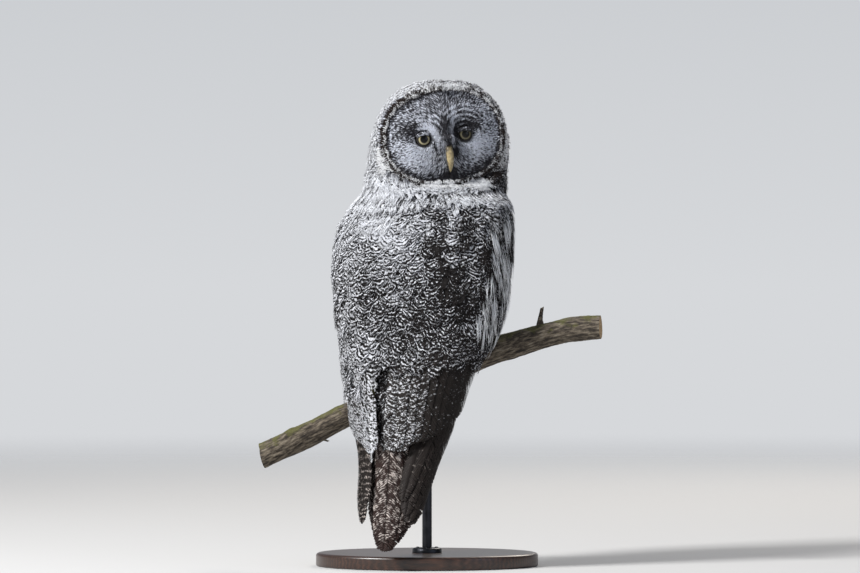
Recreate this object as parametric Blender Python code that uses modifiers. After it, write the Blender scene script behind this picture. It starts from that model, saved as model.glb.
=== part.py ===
"""Great grey owl perched on a cut length of branch, on a plain display stand.

The viewer stands on the -Y side and looks along +Y. The bird has its back to the viewer
and looks over it, so its face points to -Y. Metres, +Z up. The origin is the centre of
the underside of the stand's base.
"""

import math
import random

import bmesh
import bpy
import numpy as np
from mathutils import Matrix, Vector

GAP = 0.0003

# How the bird sits. Its own axes are right, ahead and up, turned about Z by its heading.
HEADING = math.radians(22.0)
FACE_TURN = math.radians(13.0)
HEAD_ROLL = math.radians(7.6)

# Plumage outline of the body and the folded wings, by height: half width, then how far
# ahead of the feet the back, the widest line and the breast lie.
HEIGHTS = (0.040, 0.090, 0.130, 0.156, 0.183, 0.210, 0.237, 0.264, 0.291,
           0.318, 0.345, 0.372, 0.400, 0.430, 0.460, 0.482, 0.503)
HALF_WIDTHS = (0.038, 0.0480, 0.0575, 0.0652, 0.0742, 0.0800, 0.086, 0.0935, 0.1015,
               0.1095, 0.1150, 0.1188, 0.1215, 0.1217, 0.1185, 0.1110, 0.1005)
SIDEWAYS = (0.0, 0.0, 0.0015, 0.0018, 0.0012, 0.0, 0.0, 0.0, 0.0,
            0.0, 0.0, -0.0022, -0.0042, -0.0052, -0.0030, 0.0, 0.0)
BACK_LINE = (-0.154, -0.149, -0.145, -0.141, -0.137, -0.133, -0.129, -0.125, -0.121,
             -0.118, -0.114, -0.111, -0.105, -0.096, -0.084, -0.073, -0.058)
WIDE_LINE = (-0.134, -0.124, -0.107, -0.096, -0.086, -0.077, -0.068, -0.058, -0.048,
             -0.038, -0.030, -0.024, -0.018, -0.008, 0.003, 0.012, 0.024)
BREAST_LINE = (-0.110, -0.100, -0.085, -0.060, -0.040, -0.020, 0.000, 0.020, 0.045,
               0.072, 0.092, 0.104, 0.109, 0.108, 0.102, 0.096, 0.092)
OUTLINE_POWER = 2.15

# Lower end of the torso, which tucks in between the wings round the root of the tail
TUCK_HEIGHTS = (0.232, 0.245, 0.260, 0.272, 0.284, 0.298, 0.315, 0.335)
TUCK_HALF_WIDTHS = (0.026, 0.040, 0.051, 0.060, 0.070, 0.084, 0.100, 0.1130)
TUCK_BACK = (-0.104, -0.109, -0.111, -0.112, -0.1125, -0.1135, -0.1145, -0.1150)
TUCK_WIDE = (-0.086, -0.083, -0.074, -0.062, -0.051, -0.044, -0.038, -0.033)
TUCK_BREAST = (-0.068, -0.056, -0.036, -0.006, 0.020, 0.045, 0.068, 0.0860)

# Head: half width, depth towards the face, depth towards the nape, and how far ahead of
# the feet the axis lies, by height
NECK_FOOT = 0.482
HEAD_FOOT = 0.503
HEAD_HEIGHTS = (0.503, 0.515, 0.530, 0.548, 0.565, 0.582, 0.600, 0.616, 0.629,
                0.640, 0.648, 0.6535, 0.6560)
HEAD_HALF_WIDTHS = (0.0980, 0.0968, 0.0960, 0.0955, 0.0935, 0.0900, 0.0845, 0.0778, 0.0700,
                    0.0605, 0.0500, 0.0375, 0.0160)
FACE_DEPTHS = (0.070, 0.0655, 0.0650, 0.0665, 0.0670, 0.0660, 0.0625, 0.0570, 0.0500,
               0.0410, 0.0310, 0.0210, 0.0090)
NAPE_DEPTHS = (0.070, 0.0760, 0.0830, 0.0880, 0.0900, 0.0895, 0.0850, 0.0775, 0.0680,
               0.0560, 0.0430, 0.0290, 0.0120)
HEAD_AHEAD = (0.026, 0.031, 0.036, 0.042, 0.045, 0.046, 0.045, 0.046, 0.047,
              0.050, 0.053, 0.055, 0.056)

# Facial disc, measured from the point between the eyes: x to the viewer's right, y up
FACE_AXIS_X = 0.0115
FACE_CENTRE_Z = 0.5790
DISC_HALF_WIDTH = 0.0842
DISC_TOP = 0.0655
DISC_BOTTOM = 0.0640
EYE_X = 0.0283
EYE_RADIUS = 0.0132
EYE_PROUD = 0.0052
LID_RADIUS = 0.0106
LID_THICKNESS = 0.0016
BILL_TOP = -0.0130
BILL_TIP = -0.0485
BILL_WIDTH = 0.0125
RUFF_LOCKS = 30
RUFF_WIDTH = 0.0200
RUFF_OVERLAP = 0.0009
CHIN_GAP = math.radians(84)
# A lock of the ruff from root to tip: reach beyond the rim, distance behind it, share of
# the full width, thickness, and how far its flat side has turned outwards in radians
RUFF_STATIONS = ((-0.0030, 0.0055, 0.75, 0.0012, 0.20), (0.0042, 0.0010, 1.00, 0.0011, 0.70),
                 (0.0076, 0.0100, 0.85, 0.0009, 1.10), (0.0074, 0.0175, 0.25, 0.0006, 1.25))
NOSTRIL_RADIUS = 0.0012

# Wings. Angles run round the body from the middle of the back, 90 degrees at the side.
WINGS_MEET = math.radians(-8.0)
WING_TOP = 0.480
WING_FOOT = 0.266
WING_THICK = 0.0120
WING_EDGE = 0.0012
WING_SKIN = -0.0020
VANE_THICK = 0.0009
VANE_EDGE = 0.0006
SHINGLE_STEP = 0.0013

# Tail
TAIL_FEATHERS = 12
TAIL_ROOT = 0.338
TAIL_TIP = 0.0270
TAIL_AHEAD_AT_TIP = -0.1450
TAIL_LEAN = 0.150
TAIL_VANE = 0.0205
TAIL_LAYER = 0.0013

# Legs and toes
FOOT_SPREAD = 0.031
ANKLE_RADIUS = 0.0135
THIGH_RADIUS = 0.0230
TOE_RADIUS = 0.0062
CLAW_RADIUS = 0.0026

# Perch, a cut length of branch: its axis by x, and its radii
PERCH_X = (-0.223, -0.160, -0.110, -0.055, 0.000, 0.055, 0.110, 0.160, 0.195, 0.233)
PERCH_Z = (0.1465, 0.1770, 0.2020, 0.2270, 0.2516, 0.2755, 0.2965, 0.3120, 0.3195, 0.3220)
PERCH_RADII = (0.0178, 0.0172, 0.0165, 0.0168, 0.0172, 0.0178, 0.0182, 0.0170, 0.0172, 0.0165)
PERCH_TURN = math.radians(10.0)
PERCH_SIDES = 14

# Stand
BASE_HALF_X = 0.150
BASE_HALF_Y = 0.115
BASE_THICK = 0.018
ROD_RADIUS = 0.0065
FLANGE_RADIUS = 0.020
FLANGE_THICK = 0.006


def start_scene():
    """Empties the scene and returns the collections for the parts and for the cutters."""
    for item in list(bpy.data.objects):
        bpy.data.objects.remove(item)
    owl = bpy.data.collections.new("great_grey_owl")
    cutters = bpy.data.collections.new("cutters")
    for collection in (owl, cutters):
        bpy.context.scene.collection.children.link(collection)
    cutters.hide_render = True
    return owl, cutters


OWL, CUTTERS = start_scene()


def material(name, colour, roughness, metallic=0.0):
    made = bpy.data.materials.new(name)
    made.use_nodes = True
    shader = made.node_tree.nodes["Principled BSDF"]
    shader.inputs["Base Color"].default_value = (*colour, 1.0)
    shader.inputs["Roughness"].default_value = roughness
    shader.inputs["Metallic"].default_value = metallic
    made.diffuse_color = (*colour, 1.0)
    return made


PLUMAGE = material("grey_plumage", (0.24, 0.24, 0.25), 0.9)
FLIGHT = material("flight_feather", (0.13, 0.12, 0.115), 0.75)
IRIS = material("eye", (0.62, 0.43, 0.05), 0.08)
HORN = material("bill_horn", (0.66, 0.48, 0.14), 0.4)
CLAW = material("claw_horn", (0.02, 0.018, 0.016), 0.35)
BARK = material("bark", (0.12, 0.10, 0.075), 0.95)
WOOD = material("stand_wood", (0.05, 0.035, 0.026), 0.45)
STEEL = material("stand_steel", (0.06, 0.06, 0.062), 0.4, 1.0)


# Small tools: smooth tables, bird axes, closed meshes, joins and cuts
def smooth_table(xs, ys, x):
    """A monotone cubic through the stations, so that the outline has no kinks."""
    xs = np.asarray(xs, float)
    ys = np.asarray(ys, float)
    step = np.diff(xs)
    slope = np.diff(ys) / step
    tangent = np.zeros(len(xs))
    tangent[0], tangent[-1] = slope[0], slope[-1]
    for i in range(1, len(xs) - 1):
        if slope[i - 1] * slope[i] > 0:
            ahead = 2 * step[i] + step[i - 1]
            behind = step[i] + 2 * step[i - 1]
            tangent[i] = (ahead + behind) / (ahead / slope[i - 1] + behind / slope[i])
    x = np.clip(np.asarray(x, float), xs[0], xs[-1])
    k = np.clip(np.searchsorted(xs, x) - 1, 0, len(step) - 1)
    t = (x - xs[k]) / step[k]
    return ((2 * t**3 - 3 * t**2 + 1) * ys[k] + (t**3 - 2 * t**2 + t) * step[k] * tangent[k]
            + (3 * t**2 - 2 * t**3) * ys[k + 1] + (t**3 - t**2) * step[k] * tangent[k + 1])


def ramp(low, high, x):
    """0 below low, 1 above high, smooth between."""
    t = np.clip((np.asarray(x, float) - low) / (high - low), 0.0, 1.0)
    return t * t * (3 - 2 * t)


def from_bird(right, ahead, up):
    """Bird axes to the part's own frame."""
    right, ahead, up = np.broadcast_arrays(right, ahead, up)
    c, s = math.cos(HEADING), math.sin(HEADING)
    return np.stack([right * c + ahead * s, -right * s + ahead * c, up], axis=-1).astype(float)


def from_face(x, y, out):
    """Face axes (viewer's right, up, out of the face) to the part's own frame."""
    x, y, out = np.broadcast_arrays(x, y, out)
    across = np.array([math.cos(FACE_TURN), math.sin(FACE_TURN), 0.0])
    up = np.array([0.0, 0.0, 1.0])
    right_axis = across * math.cos(HEAD_ROLL) + up * math.sin(HEAD_ROLL)
    up_axis = -across * math.sin(HEAD_ROLL) + up * math.cos(HEAD_ROLL)
    out_axis = np.array([math.sin(FACE_TURN), -math.cos(FACE_TURN), 0.0])
    return FACE_ORIGIN + x[..., None] * right_axis + y[..., None] * up_axis + out[..., None] * out_axis


def to_face(points):
    """The inverse of from_face, as three arrays."""
    away = np.asarray(points, float) - FACE_ORIGIN
    axes = from_face(np.array([1.0, 0, 0]), np.array([0, 1.0, 0]), np.array([0, 0, 1.0])) - FACE_ORIGIN
    return away @ axes[0], away @ axes[1], away @ axes[2]


HEAD_AXIS_AHEAD = float(smooth_table(HEAD_HEIGHTS, HEAD_AHEAD, FACE_CENTRE_Z))
AXIS_AT_FACE = from_bird(0.0, HEAD_AXIS_AHEAD, FACE_CENTRE_Z)
SIDE_STEP = (FACE_AXIS_X - AXIS_AT_FACE[0]) / math.cos(FACE_TURN)
FACE_ORIGIN = AXIS_AT_FACE + SIDE_STEP * np.array([math.cos(FACE_TURN), math.sin(FACE_TURN), 0.0])


def new_object(name, mesh, mat, collection=None):
    made = bpy.data.objects.new(name, mesh)
    (collection or OWL).objects.link(made)
    mesh.materials.clear()
    mesh.materials.append(mat)
    return made


def closed_loft(name, rings, mat, collection=None):
    """A closed mesh through rings of equal length, split into triangles the same way on
    every side, with a point at the centre of each end."""
    rings = np.asarray(rings, float)
    count, around, _ = rings.shape
    points = np.concatenate([rings.reshape(-1, 3), [rings[0].mean(0), rings[-1].mean(0)]])
    faces = []
    for i in range(count - 1):
        for j in range(around):
            a, b = i * around + j, i * around + (j + 1) % around
            faces += [(a, b, b + around), (a, b + around, a + around)]
    low, high = count * around, count * around + 1
    for j in range(around):
        faces.append((low, (j + 1) % around, j))
        top = (count - 1) * around
        faces.append((high, top + j, top + (j + 1) % around))
    mesh = bpy.data.meshes.new(name)
    mesh.from_pydata(points.tolist(), [], faces)
    face_out(mesh)
    return new_object(name, mesh, mat, collection)


def face_out(mesh):
    """Turns the faces of a closed mesh outwards."""
    work = bmesh.new()
    work.from_mesh(mesh)
    bmesh.ops.recalc_face_normals(work, faces=work.faces)
    if work.calc_volume(signed=True) < 0:
        bmesh.ops.reverse_faces(work, faces=work.faces)
    work.to_mesh(mesh)
    work.free()


def ball(name, centre, radius, segments, rings, mat, collection=None):
    work = bmesh.new()
    bmesh.ops.create_uvsphere(work, u_segments=segments, v_segments=rings, radius=radius)
    bmesh.ops.triangulate(work, faces=work.faces)
    bmesh.ops.translate(work, verts=work.verts, vec=Vector(centre))
    mesh = bpy.data.meshes.new(name)
    work.to_mesh(mesh)
    work.free()
    return new_object(name, mesh, mat, collection)


def rod(name, centre, radius, low, high, mat, collection=None, segments=24):
    """An upright cylinder."""
    work = bmesh.new()
    bmesh.ops.create_cone(work, cap_ends=True, segments=segments, radius1=radius, radius2=radius,
                          depth=high - low)
    bmesh.ops.translate(work, verts=work.verts, vec=Vector((centre[0], centre[1], (low + high) / 2)))
    mesh = bpy.data.meshes.new(name)
    work.to_mesh(mesh)
    work.free()
    return new_object(name, mesh, mat, collection)


def tube(name, points, radii, mat, collection=None, sides=2):
    """A tapered tube: a curve with a bevel, made a mesh with its caps welded."""
    curve = bpy.data.curves.new(name, "CURVE")
    curve.dimensions = "3D"
    curve.bevel_depth = 1.0
    curve.bevel_resolution = sides
    curve.use_fill_caps = True
    line = curve.splines.new("POLY")
    line.points.add(len(points) - 1)
    for point, place, radius in zip(line.points, points, radii):
        point.co = (*place, 1.0)
        point.radius = radius
    guide = bpy.data.objects.new(name + "_line", curve)
    bpy.context.scene.collection.objects.link(guide)
    graph = bpy.context.evaluated_depsgraph_get()
    mesh = bpy.data.meshes.new_from_object(guide.evaluated_get(graph))
    bpy.data.objects.remove(guide)
    work = bmesh.new()
    work.from_mesh(mesh)
    bmesh.ops.remove_doubles(work, verts=work.verts, dist=1e-6)
    bmesh.ops.triangulate(work, faces=work.faces)
    work.to_mesh(mesh)
    work.free()
    face_out(mesh)
    return new_object(name, mesh, mat, collection)


def largest_shell(mesh):
    """Keeps only the closed surface with the largest volume."""
    work = bmesh.new()
    work.from_mesh(mesh)
    bmesh.ops.remove_doubles(work, verts=work.verts, dist=2e-6)
    bmesh.ops.dissolve_degenerate(work, edges=work.edges, dist=2e-6)
    bmesh.ops.triangulate(work, faces=work.faces)
    work.verts.index_update()
    unseen = set(work.verts)
    shells = []
    while unseen:
        group = {unseen.pop()}
        front = list(group)
        while front:
            vert = front.pop()
            for edge in vert.link_edges:
                other = edge.other_vert(vert)
                if other in unseen:
                    unseen.discard(other)
                    group.add(other)
                    front.append(other)
        shells.append(group)

    def volume(group):
        total = 0.0
        for face in {f for v in group for f in v.link_faces}:
            a, b, c = (v.co for v in face.verts)
            total += a.dot(b.cross(c)) / 6.0
        return total

    best = max(shells, key=volume)
    bmesh.ops.delete(work, geom=[v for v in work.verts if v not in best], context="VERTS")
    work.to_mesh(mesh)
    work.free()


def apply_boolean(target, operation, tool, solver="MANIFOLD"):
    """Applies one union or cut; tool is an object or a collection, removed afterwards."""
    modifier = target.modifiers.new(operation.lower(), "BOOLEAN")
    modifier.operation = operation
    modifier.solver = solver
    if isinstance(tool, bpy.types.Collection):
        modifier.operand_type = "COLLECTION"
        modifier.collection = tool
    else:
        modifier.object = tool
    graph = bpy.context.evaluated_depsgraph_get()
    mesh = bpy.data.meshes.new_from_object(target.evaluated_get(graph))
    target.modifiers.remove(modifier)
    target.data = mesh
    pieces = list(tool.objects) if isinstance(tool, bpy.types.Collection) else [tool]
    for piece in pieces:
        bpy.data.objects.remove(piece)
    if isinstance(tool, bpy.types.Collection):
        bpy.data.collections.remove(tool)
    largest_shell(target.data)


def piece_collection(name):
    made = bpy.data.collections.new(name)
    bpy.context.scene.collection.children.link(made)
    return made


# Body outline: one function gives any point of the plumage
def outline(angle, height, lift=0.0, heights=HEIGHTS, widths=HALF_WIDTHS, back=BACK_LINE,
            wide=WIDE_LINE, breast=BREAST_LINE):
    """The point of the body's outline at an angle round from the back, lifted outwards."""
    angle, height, lift = np.broadcast_arrays(angle, height, lift)
    half = smooth_table(heights, widths, height) + lift
    middle = smooth_table(heights, wide, height)
    to_back = middle - smooth_table(heights, back, height) + lift
    to_breast = smooth_table(heights, breast, height) - middle + lift
    s, c = np.sin(angle), np.cos(angle)
    power = 2.0 / OUTLINE_POWER
    right = half * np.sign(s) * np.abs(s) ** power + smooth_table(HEIGHTS, SIDEWAYS, height)
    depth = np.where(c > 0, to_back, to_breast)
    ahead = middle - depth * np.sign(c) * np.abs(c) ** power
    return from_bird(right, ahead, height)


def head_ring(height, count):
    """A horizontal ring of the head. The points towards the viewer lie closer."""
    near = np.arcsin(np.linspace(-0.985, 0.985, count * 3 // 5))
    far = np.linspace(near[-1], near[0] + 2 * math.pi, count - len(near) + 2)[1:-1]
    t = np.concatenate([near, far])
    half = smooth_table(HEAD_HEIGHTS, HEAD_HALF_WIDTHS, height)
    face = smooth_table(HEAD_HEIGHTS, FACE_DEPTHS, height)
    nape = smooth_table(HEAD_HEIGHTS, NAPE_DEPTHS, height)
    s, c = np.sin(t), np.cos(t)
    power = 2.0 / OUTLINE_POWER
    x = half * np.sign(s) * np.abs(s) ** power
    y = np.where(c > 0, face, nape) * np.sign(c) * np.abs(c) ** power
    across = np.array([math.cos(FACE_TURN), math.sin(FACE_TURN), 0.0])
    toward = np.array([math.sin(FACE_TURN), -math.cos(FACE_TURN), 0.0])
    centre = from_bird(0.0, smooth_table(HEAD_HEIGHTS, HEAD_AHEAD, height), height)
    return centre + x[:, None] * across + y[:, None] * toward


def neck_ring(height, count=32):
    """A ring between the torso's upper rim and the head's lower one, which is turned."""
    share = float(ramp(NECK_FOOT, HEAD_FOOT, height))
    low = outline(np.linspace(0, 2 * math.pi, count, endpoint=False), NECK_FOOT)
    rim = head_ring(HEAD_FOOT, 120)
    middle = rim.mean(0)
    place = np.arctan2(rim[:, 1] - middle[1], rim[:, 0] - middle[0])
    order = np.argsort(place)
    low_middle = low.mean(0)
    wanted = np.arctan2(low[:, 1] - low_middle[1], low[:, 0] - low_middle[0])
    high = np.stack([np.interp(wanted, place[order], rim[order, k], period=2 * math.pi)
                     for k in range(3)], axis=-1)
    ring = low + (high - low) * share
    ring[:, 2] = height
    return ring


# Face: the disc is a relief over the front of the head
def disc_share(x, y):
    """0 at the middle of the facial disc, 1 on its rim."""
    up = np.where(y > 0, DISC_TOP, DISC_BOTTOM)
    return (np.abs(x / DISC_HALF_WIDTH) ** 2.3 + np.abs(y / up) ** 2.3) ** (1 / 2.3)


def face_relief(x, y):
    """How far the face stands out from the head's axis: two shallow dishes round the
    eyes, a ridge between them that ends above the bill, and a raised rim."""
    base = 0.0625 - x**2 / 0.36 - y**2 / 0.44
    dishes = sum(-0.0085 * np.exp(-(((x - side * EYE_X) / 0.021) ** 2 + (y / 0.022) ** 2))
                 for side in (-1, 1))
    ridge_width = 0.0085 + 0.10 * np.clip(y, 0, 0.05)
    ridge = 0.0045 * np.exp(-((x / ridge_width) ** 2)) * ramp(-0.055, -0.02, y)
    cheeks = 0.0030 * np.exp(-(((np.abs(x) - 0.040) / 0.022) ** 2 + ((y + 0.036) / 0.018) ** 2))
    share = disc_share(x, y)
    rim = 0.0045 * np.exp(-(((share - 0.97) / 0.075) ** 2))
    return base + dishes + ridge + cheeks + rim


def with_face(points):
    """Moves the points of the head that lie in the disc onto the face's relief."""
    x, y, out = to_face(points)
    inside = (1 - ramp(0.99, 1.30, disc_share(x, y))) * ramp(0.002, 0.030, out)
    inside = inside * ramp(HEAD_FOOT, HEAD_FOOT + 0.011, points[:, 2])
    target = face_relief(x, y)
    moved = out + inside * (target - out)
    return from_face(x, y, moved)


def body_part(name, low, high, rows, ring_function, mat=PLUMAGE):
    levels = np.linspace(low, high, rows)
    return closed_loft(name, [ring_function(h) for h in levels], mat)


HEAD_POINTS = 40
HEAD_ROWS = 19


def make_head():
    """The head in one closed piece, with the ruff's feathers joined on round the disc."""
    levels = HEAD_FOOT + (0.6560 - HEAD_FOOT) * np.sin(np.linspace(0, math.pi / 2, HEAD_ROWS)) ** 0.92
    levels[0] = HEAD_FOOT + GAP / 2
    rings = [with_face(head_ring(h, HEAD_POINTS)) for h in levels]
    head = closed_loft("head", rings, PLUMAGE)
    ruff = piece_collection("ruff")
    draw = random.Random(7)
    for i in range(RUFF_LOCKS):
        turn = 2 * math.pi * (i + 0.5) / RUFF_LOCKS
        if abs(turn - 1.5 * math.pi) > CHIN_GAP / 2:
            ruff_lock(turn, ruff, draw)
    for side in (-1, 1):
        lid_ring(side, ruff)
    apply_boolean(head, "UNION", ruff)
    return head


def disc_edge(turn, share):
    """The point of the disc's outline at a turn round it, as x and y in the face."""
    dx, dy = math.cos(turn), math.sin(turn)
    reach = share / float(disc_share(np.array(dx), np.array(dy)))
    return dx * reach, dy * reach


def ruff_lock(turn, collection, draw):
    """One stiff feather of the ruff: flat and tapered, it leaves the rim outwards, bends
    back over the side of the head and overlaps its neighbour."""
    x0, y0 = disc_edge(turn, 0.95)
    x1, y1 = disc_edge(turn, 1.05)
    outward = np.array([x1 - x0, y1 - y0])
    outward /= np.linalg.norm(outward)
    along = np.array([-outward[1], outward[0]])
    rim_out = float(face_relief(np.array(x0), np.array(y0)))
    longer = draw.uniform(0.9, 1.12)
    rings = []
    for reach, back, wide, thick, lean in RUFF_STATIONS:
        ring = []
        for across, over in ((-1, -1), (1, -1), (1, 1), (-1, 1)):
            lift = over * thick / 2 + across * RUFF_OVERLAP
            place = np.array([x0, y0]) + outward * (reach * longer + lift * math.sin(lean))
            place = place + along * across * wide * RUFF_WIDTH / 2
            ring.append(from_face(place[0], place[1], rim_out - back * longer + lift * math.cos(lean)))
        rings.append(ring)
    rings = np.array(rings)
    rings[..., 2] = np.maximum(rings[..., 2], HEAD_FOOT + 2 * GAP)
    closed_loft("ruff_lock", rings, PLUMAGE, collection)


def eye_centre(side):
    x = side * EYE_X
    out = float(face_relief(np.array(x), np.array(0.0))) - EYE_RADIUS + EYE_PROUD
    return from_face(x, 0.0, out)


def lid_ring(side, collection):
    """The lids: a soft ring round the opening, lower and flatter above the eye."""
    x = side * EYE_X
    ring_out = float(face_relief(np.array(x), np.array(0.0))) + 0.0012
    rings = []
    for turn in np.linspace(0, 2 * math.pi, 16, endpoint=False):
        squash = 0.84 if math.sin(turn) > 0 else 0.96
        cx = x + LID_RADIUS * math.cos(turn)
        cy = LID_RADIUS * squash * math.sin(turn)
        section = []
        for around in np.linspace(0, 2 * math.pi, 5, endpoint=False):
            grow = LID_THICKNESS * math.cos(around)
            section.append(from_face(cx + grow * math.cos(turn), cy + grow * math.sin(turn),
                                     ring_out + 1.5 * LID_THICKNESS * math.sin(around)))
        rings.append(section)
    closed_band("lid", np.array(rings), collection)


def closed_band(name, rings, collection):
    """A closed mesh through rings that run round and meet, like a torus."""
    count, around, _ = rings.shape
    faces = []
    for i in range(count):
        for j in range(around):
            a, b = i * around + j, i * around + (j + 1) % around
            c, d = ((i + 1) % count) * around + (j + 1) % around, ((i + 1) % count) * around + j
            faces += [(a, b, c), (a, c, d)]
    mesh = bpy.data.meshes.new(name)
    mesh.from_pydata(rings.reshape(-1, 3).tolist(), [], faces)
    face_out(mesh)
    return new_object(name, mesh, PLUMAGE, collection)


def bill_line(s, lower=False):
    """Centre line of the bill from its root to its tip: y down the face, out from it."""
    y = BILL_TOP + (BILL_TIP - BILL_TOP) * s
    out = 0.0590 + 0.0125 * math.sin(math.pi * (0.18 + 0.62 * s)) - 0.0050 * s**3
    if lower:
        y = -0.0285 - 0.0130 * s
        out = 0.0555 + 0.0055 * s
    return y, out


def bill_half(name, lower, grow, mat, collection=None):
    """One half of the bill as a tapered, curved horn; grow widens it for a cutter."""
    rings = []
    for s in np.linspace(-0.05 if grow else 0.0, 1.02 if grow else 1.0, 9 if not lower else 6):
        y, out = bill_line(float(s), lower)
        y2, out2 = bill_line(float(s) + 0.02, lower)
        step = np.array([y2 - y, out2 - out])
        step /= np.linalg.norm(step)
        raised = np.array([step[1], -step[0]]) if not lower else np.array([-step[1], step[0]])
        if raised[1] < 0:
            raised = -raised
        along = min(max(float(s), 0.0), 1.0)
        taper = (1 - along**1.7) ** 0.8 if not lower else (1 - 0.8 * along**1.5)
        half = BILL_WIDTH / 2 * (0.92 if not lower else 0.55) * max(taper, 0.07) + grow
        high = half * (0.95 if not lower else 0.55) + grow
        ring = []
        for around in np.linspace(0, 2 * math.pi, 12, endpoint=False):
            rise = math.sin(around)
            rise = rise if rise > 0 else 0.75 * rise
            place = np.array([y, out]) + raised * high * rise
            ring.append(from_face(half * math.cos(around), place[0], place[1]))
        rings.append(ring)
    return closed_loft(name, rings, mat, collection)


# Wings: a curved core over the side of the body, with tiers of vanes joined on
def wing_edge_angles(height):
    """The inner and outer edge of the folded wing, as angles round the body."""
    inner = smooth_table((0.262, 0.30, 0.34, 0.42, 0.46, 0.486), (3, 6, 12, 24, 36, 56), height)
    outer = smooth_table((0.262, 0.34, 0.42, 0.46, 0.486), (92, 95, 97, 95, 86), height)
    return np.radians(inner), np.radians(outer)


def wing_turn(side, angle, height):
    """The angle round the body on either side: low down the folded wings meet a little
    left of the middle of the back."""
    lean = WINGS_MEET * (1 - ramp(0.33, 0.42, height)) * np.clip(1 - np.abs(angle) / math.radians(80), 0, 1)
    return side * angle + lean


def wing_core(name, side, collection=None, grow=0.0):
    """The feathered arm and hand as one lens, thin at its edges. With grow, a cutter."""
    rows, columns = 8, 8
    heights = np.linspace(WING_FOOT - grow, WING_TOP + grow, rows)
    share = np.linspace(0, 1, columns)
    outer_face, inner_face = [], []
    for row, height in enumerate(heights):
        inner, outer = wing_edge_angles(height)
        loose = 1 - float(ramp(0.36, 0.41, height))
        extra = grow / 0.10 + math.radians(2.6) * loose if grow else 0.0
        angles = (inner - extra) + (outer - inner + 2 * extra) * share
        up = row / (rows - 1)
        sharp = 3.2 + 8.0 * loose if grow else 3.2
        low_end = 0.0 if grow and up < 0.5 else abs(2 * up - 1) ** 5
        lens = (1 - np.abs(2 * share - 1) ** sharp) * (1 - low_end)
        thick = WING_EDGE + (WING_THICK - WING_EDGE) * lens
        skin = WING_SKIN + (0.006 if grow else 0.0)
        outer_face.append(outline(wing_turn(side, angles, height), height, skin))
        inner_face.append(outline(wing_turn(side, angles, height), height, WING_SKIN - thick - grow))
    return closed_slab(name, np.array(outer_face), np.array(inner_face), FLIGHT, collection)


def closed_slab(name, top, bottom, mat, collection=None):
    """Two grids of points facing each other, closed round the edge."""
    rows, columns, _ = top.shape
    count = rows * columns
    points = np.concatenate([top.reshape(-1, 3), bottom.reshape(-1, 3)])
    faces = []
    for i in range(rows - 1):
        for j in range(columns - 1):
            a = i * columns + j
            b, c, d = a + 1, a + columns + 1, a + columns
            faces += [(a, b, c), (a, c, d), (a + count, c + count, b + count),
                      (a + count, d + count, c + count)]
    rim = ([(0, j) for j in range(columns)] + [(i, columns - 1) for i in range(1, rows)]
           + [(rows - 1, j) for j in range(columns - 2, -1, -1)] + [(i, 0) for i in range(rows - 2, 0, -1)])
    for k, (i, j) in enumerate(rim):
        m, n = rim[(k + 1) % len(rim)]
        a, b = i * columns + j, m * columns + n
        faces += [(a, a + count, b + count), (a, b + count, b)]
    mesh = bpy.data.meshes.new(name)
    mesh.from_pydata(points.tolist(), [], faces)
    face_out(mesh)
    return new_object(name, mesh, mat, collection)


def vane_profile(s, tip_share=0.22):
    """Half width of a feather along its length: narrow at the quill, round at the tip."""
    root = 0.30 + 0.70 * ramp(0.0, 0.30, s)
    end = np.sqrt(np.clip(1 - (np.clip(s - (1 - tip_share), 0, 1) / tip_share) ** 2.2, 0.0, 1))
    return root * np.maximum(end, 0.16)


def wing_vane(name, side, angles, spacing, heights, lift_table, half_width, collection):
    """One flight feather or covert that follows the body's outline. Angles, spacing and
    heights run from root to tip. It is tilted so that its outer edge lies over the next
    feather and its inner edge under the one before."""
    stations = 5
    share = 1 - (1 - np.linspace(0, 1, stations)) ** 1.35
    angle = angles[0] + (angles[1] - angles[0]) * share
    apart = spacing[0] + (spacing[1] - spacing[0]) * share
    height = heights[0] + (heights[1] - heights[0]) * share
    lift = smooth_table(lift_table[0], lift_table[1], height)
    half = half_width * vane_profile(share)
    rings = []
    for k in range(stations):
        step = outline(angle[k] + 0.01, height[k]) - outline(angle[k] - 0.01, height[k])
        reach = np.linalg.norm(step) / 0.02
        tilt = SHINGLE_STEP / max(apart[k] * reach, 0.004)
        across = np.array([-1.0, 0.0, 1.0, 1.0, 0.0, -1.0])
        over = np.array([VANE_EDGE, VANE_THICK, VANE_EDGE, 0.0, 0.0, 0.0])
        turn = angle[k] + across * half[k] / reach
        rise = lift[k] + over + tilt * across * half[k]
        rings.append(outline(wing_turn(side, turn, height[k]), height[k], rise))
    return closed_loft(name, rings, FLIGHT, collection)


# Tiers of a wing: how many feathers, then from the outermost to the innermost their root
# and tip angles in degrees, their root and tip heights and their half widths
WING_TIERS = (
    ("primary", 6, (86, 66), (86, 36), (0.330, 0.330), (0.110, 0.086), (0.0130, 0.0135)),
    ("secondary", 8, (82, 20), (80, 14), (0.335, 0.335), (0.205, 0.152), (0.0165, 0.0190)),
    ("covert", 6, (81, 27), (81, 22), (0.374, 0.374), (0.284, 0.276), (0.0165, 0.0175)),
)
# How deep each tier lies below the outline (or above it), by height
TIER_LIFTS = {
    "primary": ((0.06, 0.08, 0.11, 0.14, 0.16, 0.20, 0.24, 0.30),
                (-0.0020, -0.0025, -0.0045, -0.0074, -0.0086, -0.0094, -0.0096, -0.0090)),
    "secondary": ((0.15, 0.20, 0.28, 0.34), (-0.0034, -0.0036, -0.0042, -0.0055)),
    "covert": ((0.28, 0.32, 0.345, 0.36, 0.374), (0.0003, -0.0006, -0.0016, -0.0032, -0.0050)),
}
PRIMARY_TIPS = (0.114, 0.082, 0.064, 0.062, 0.072, 0.094)


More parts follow.
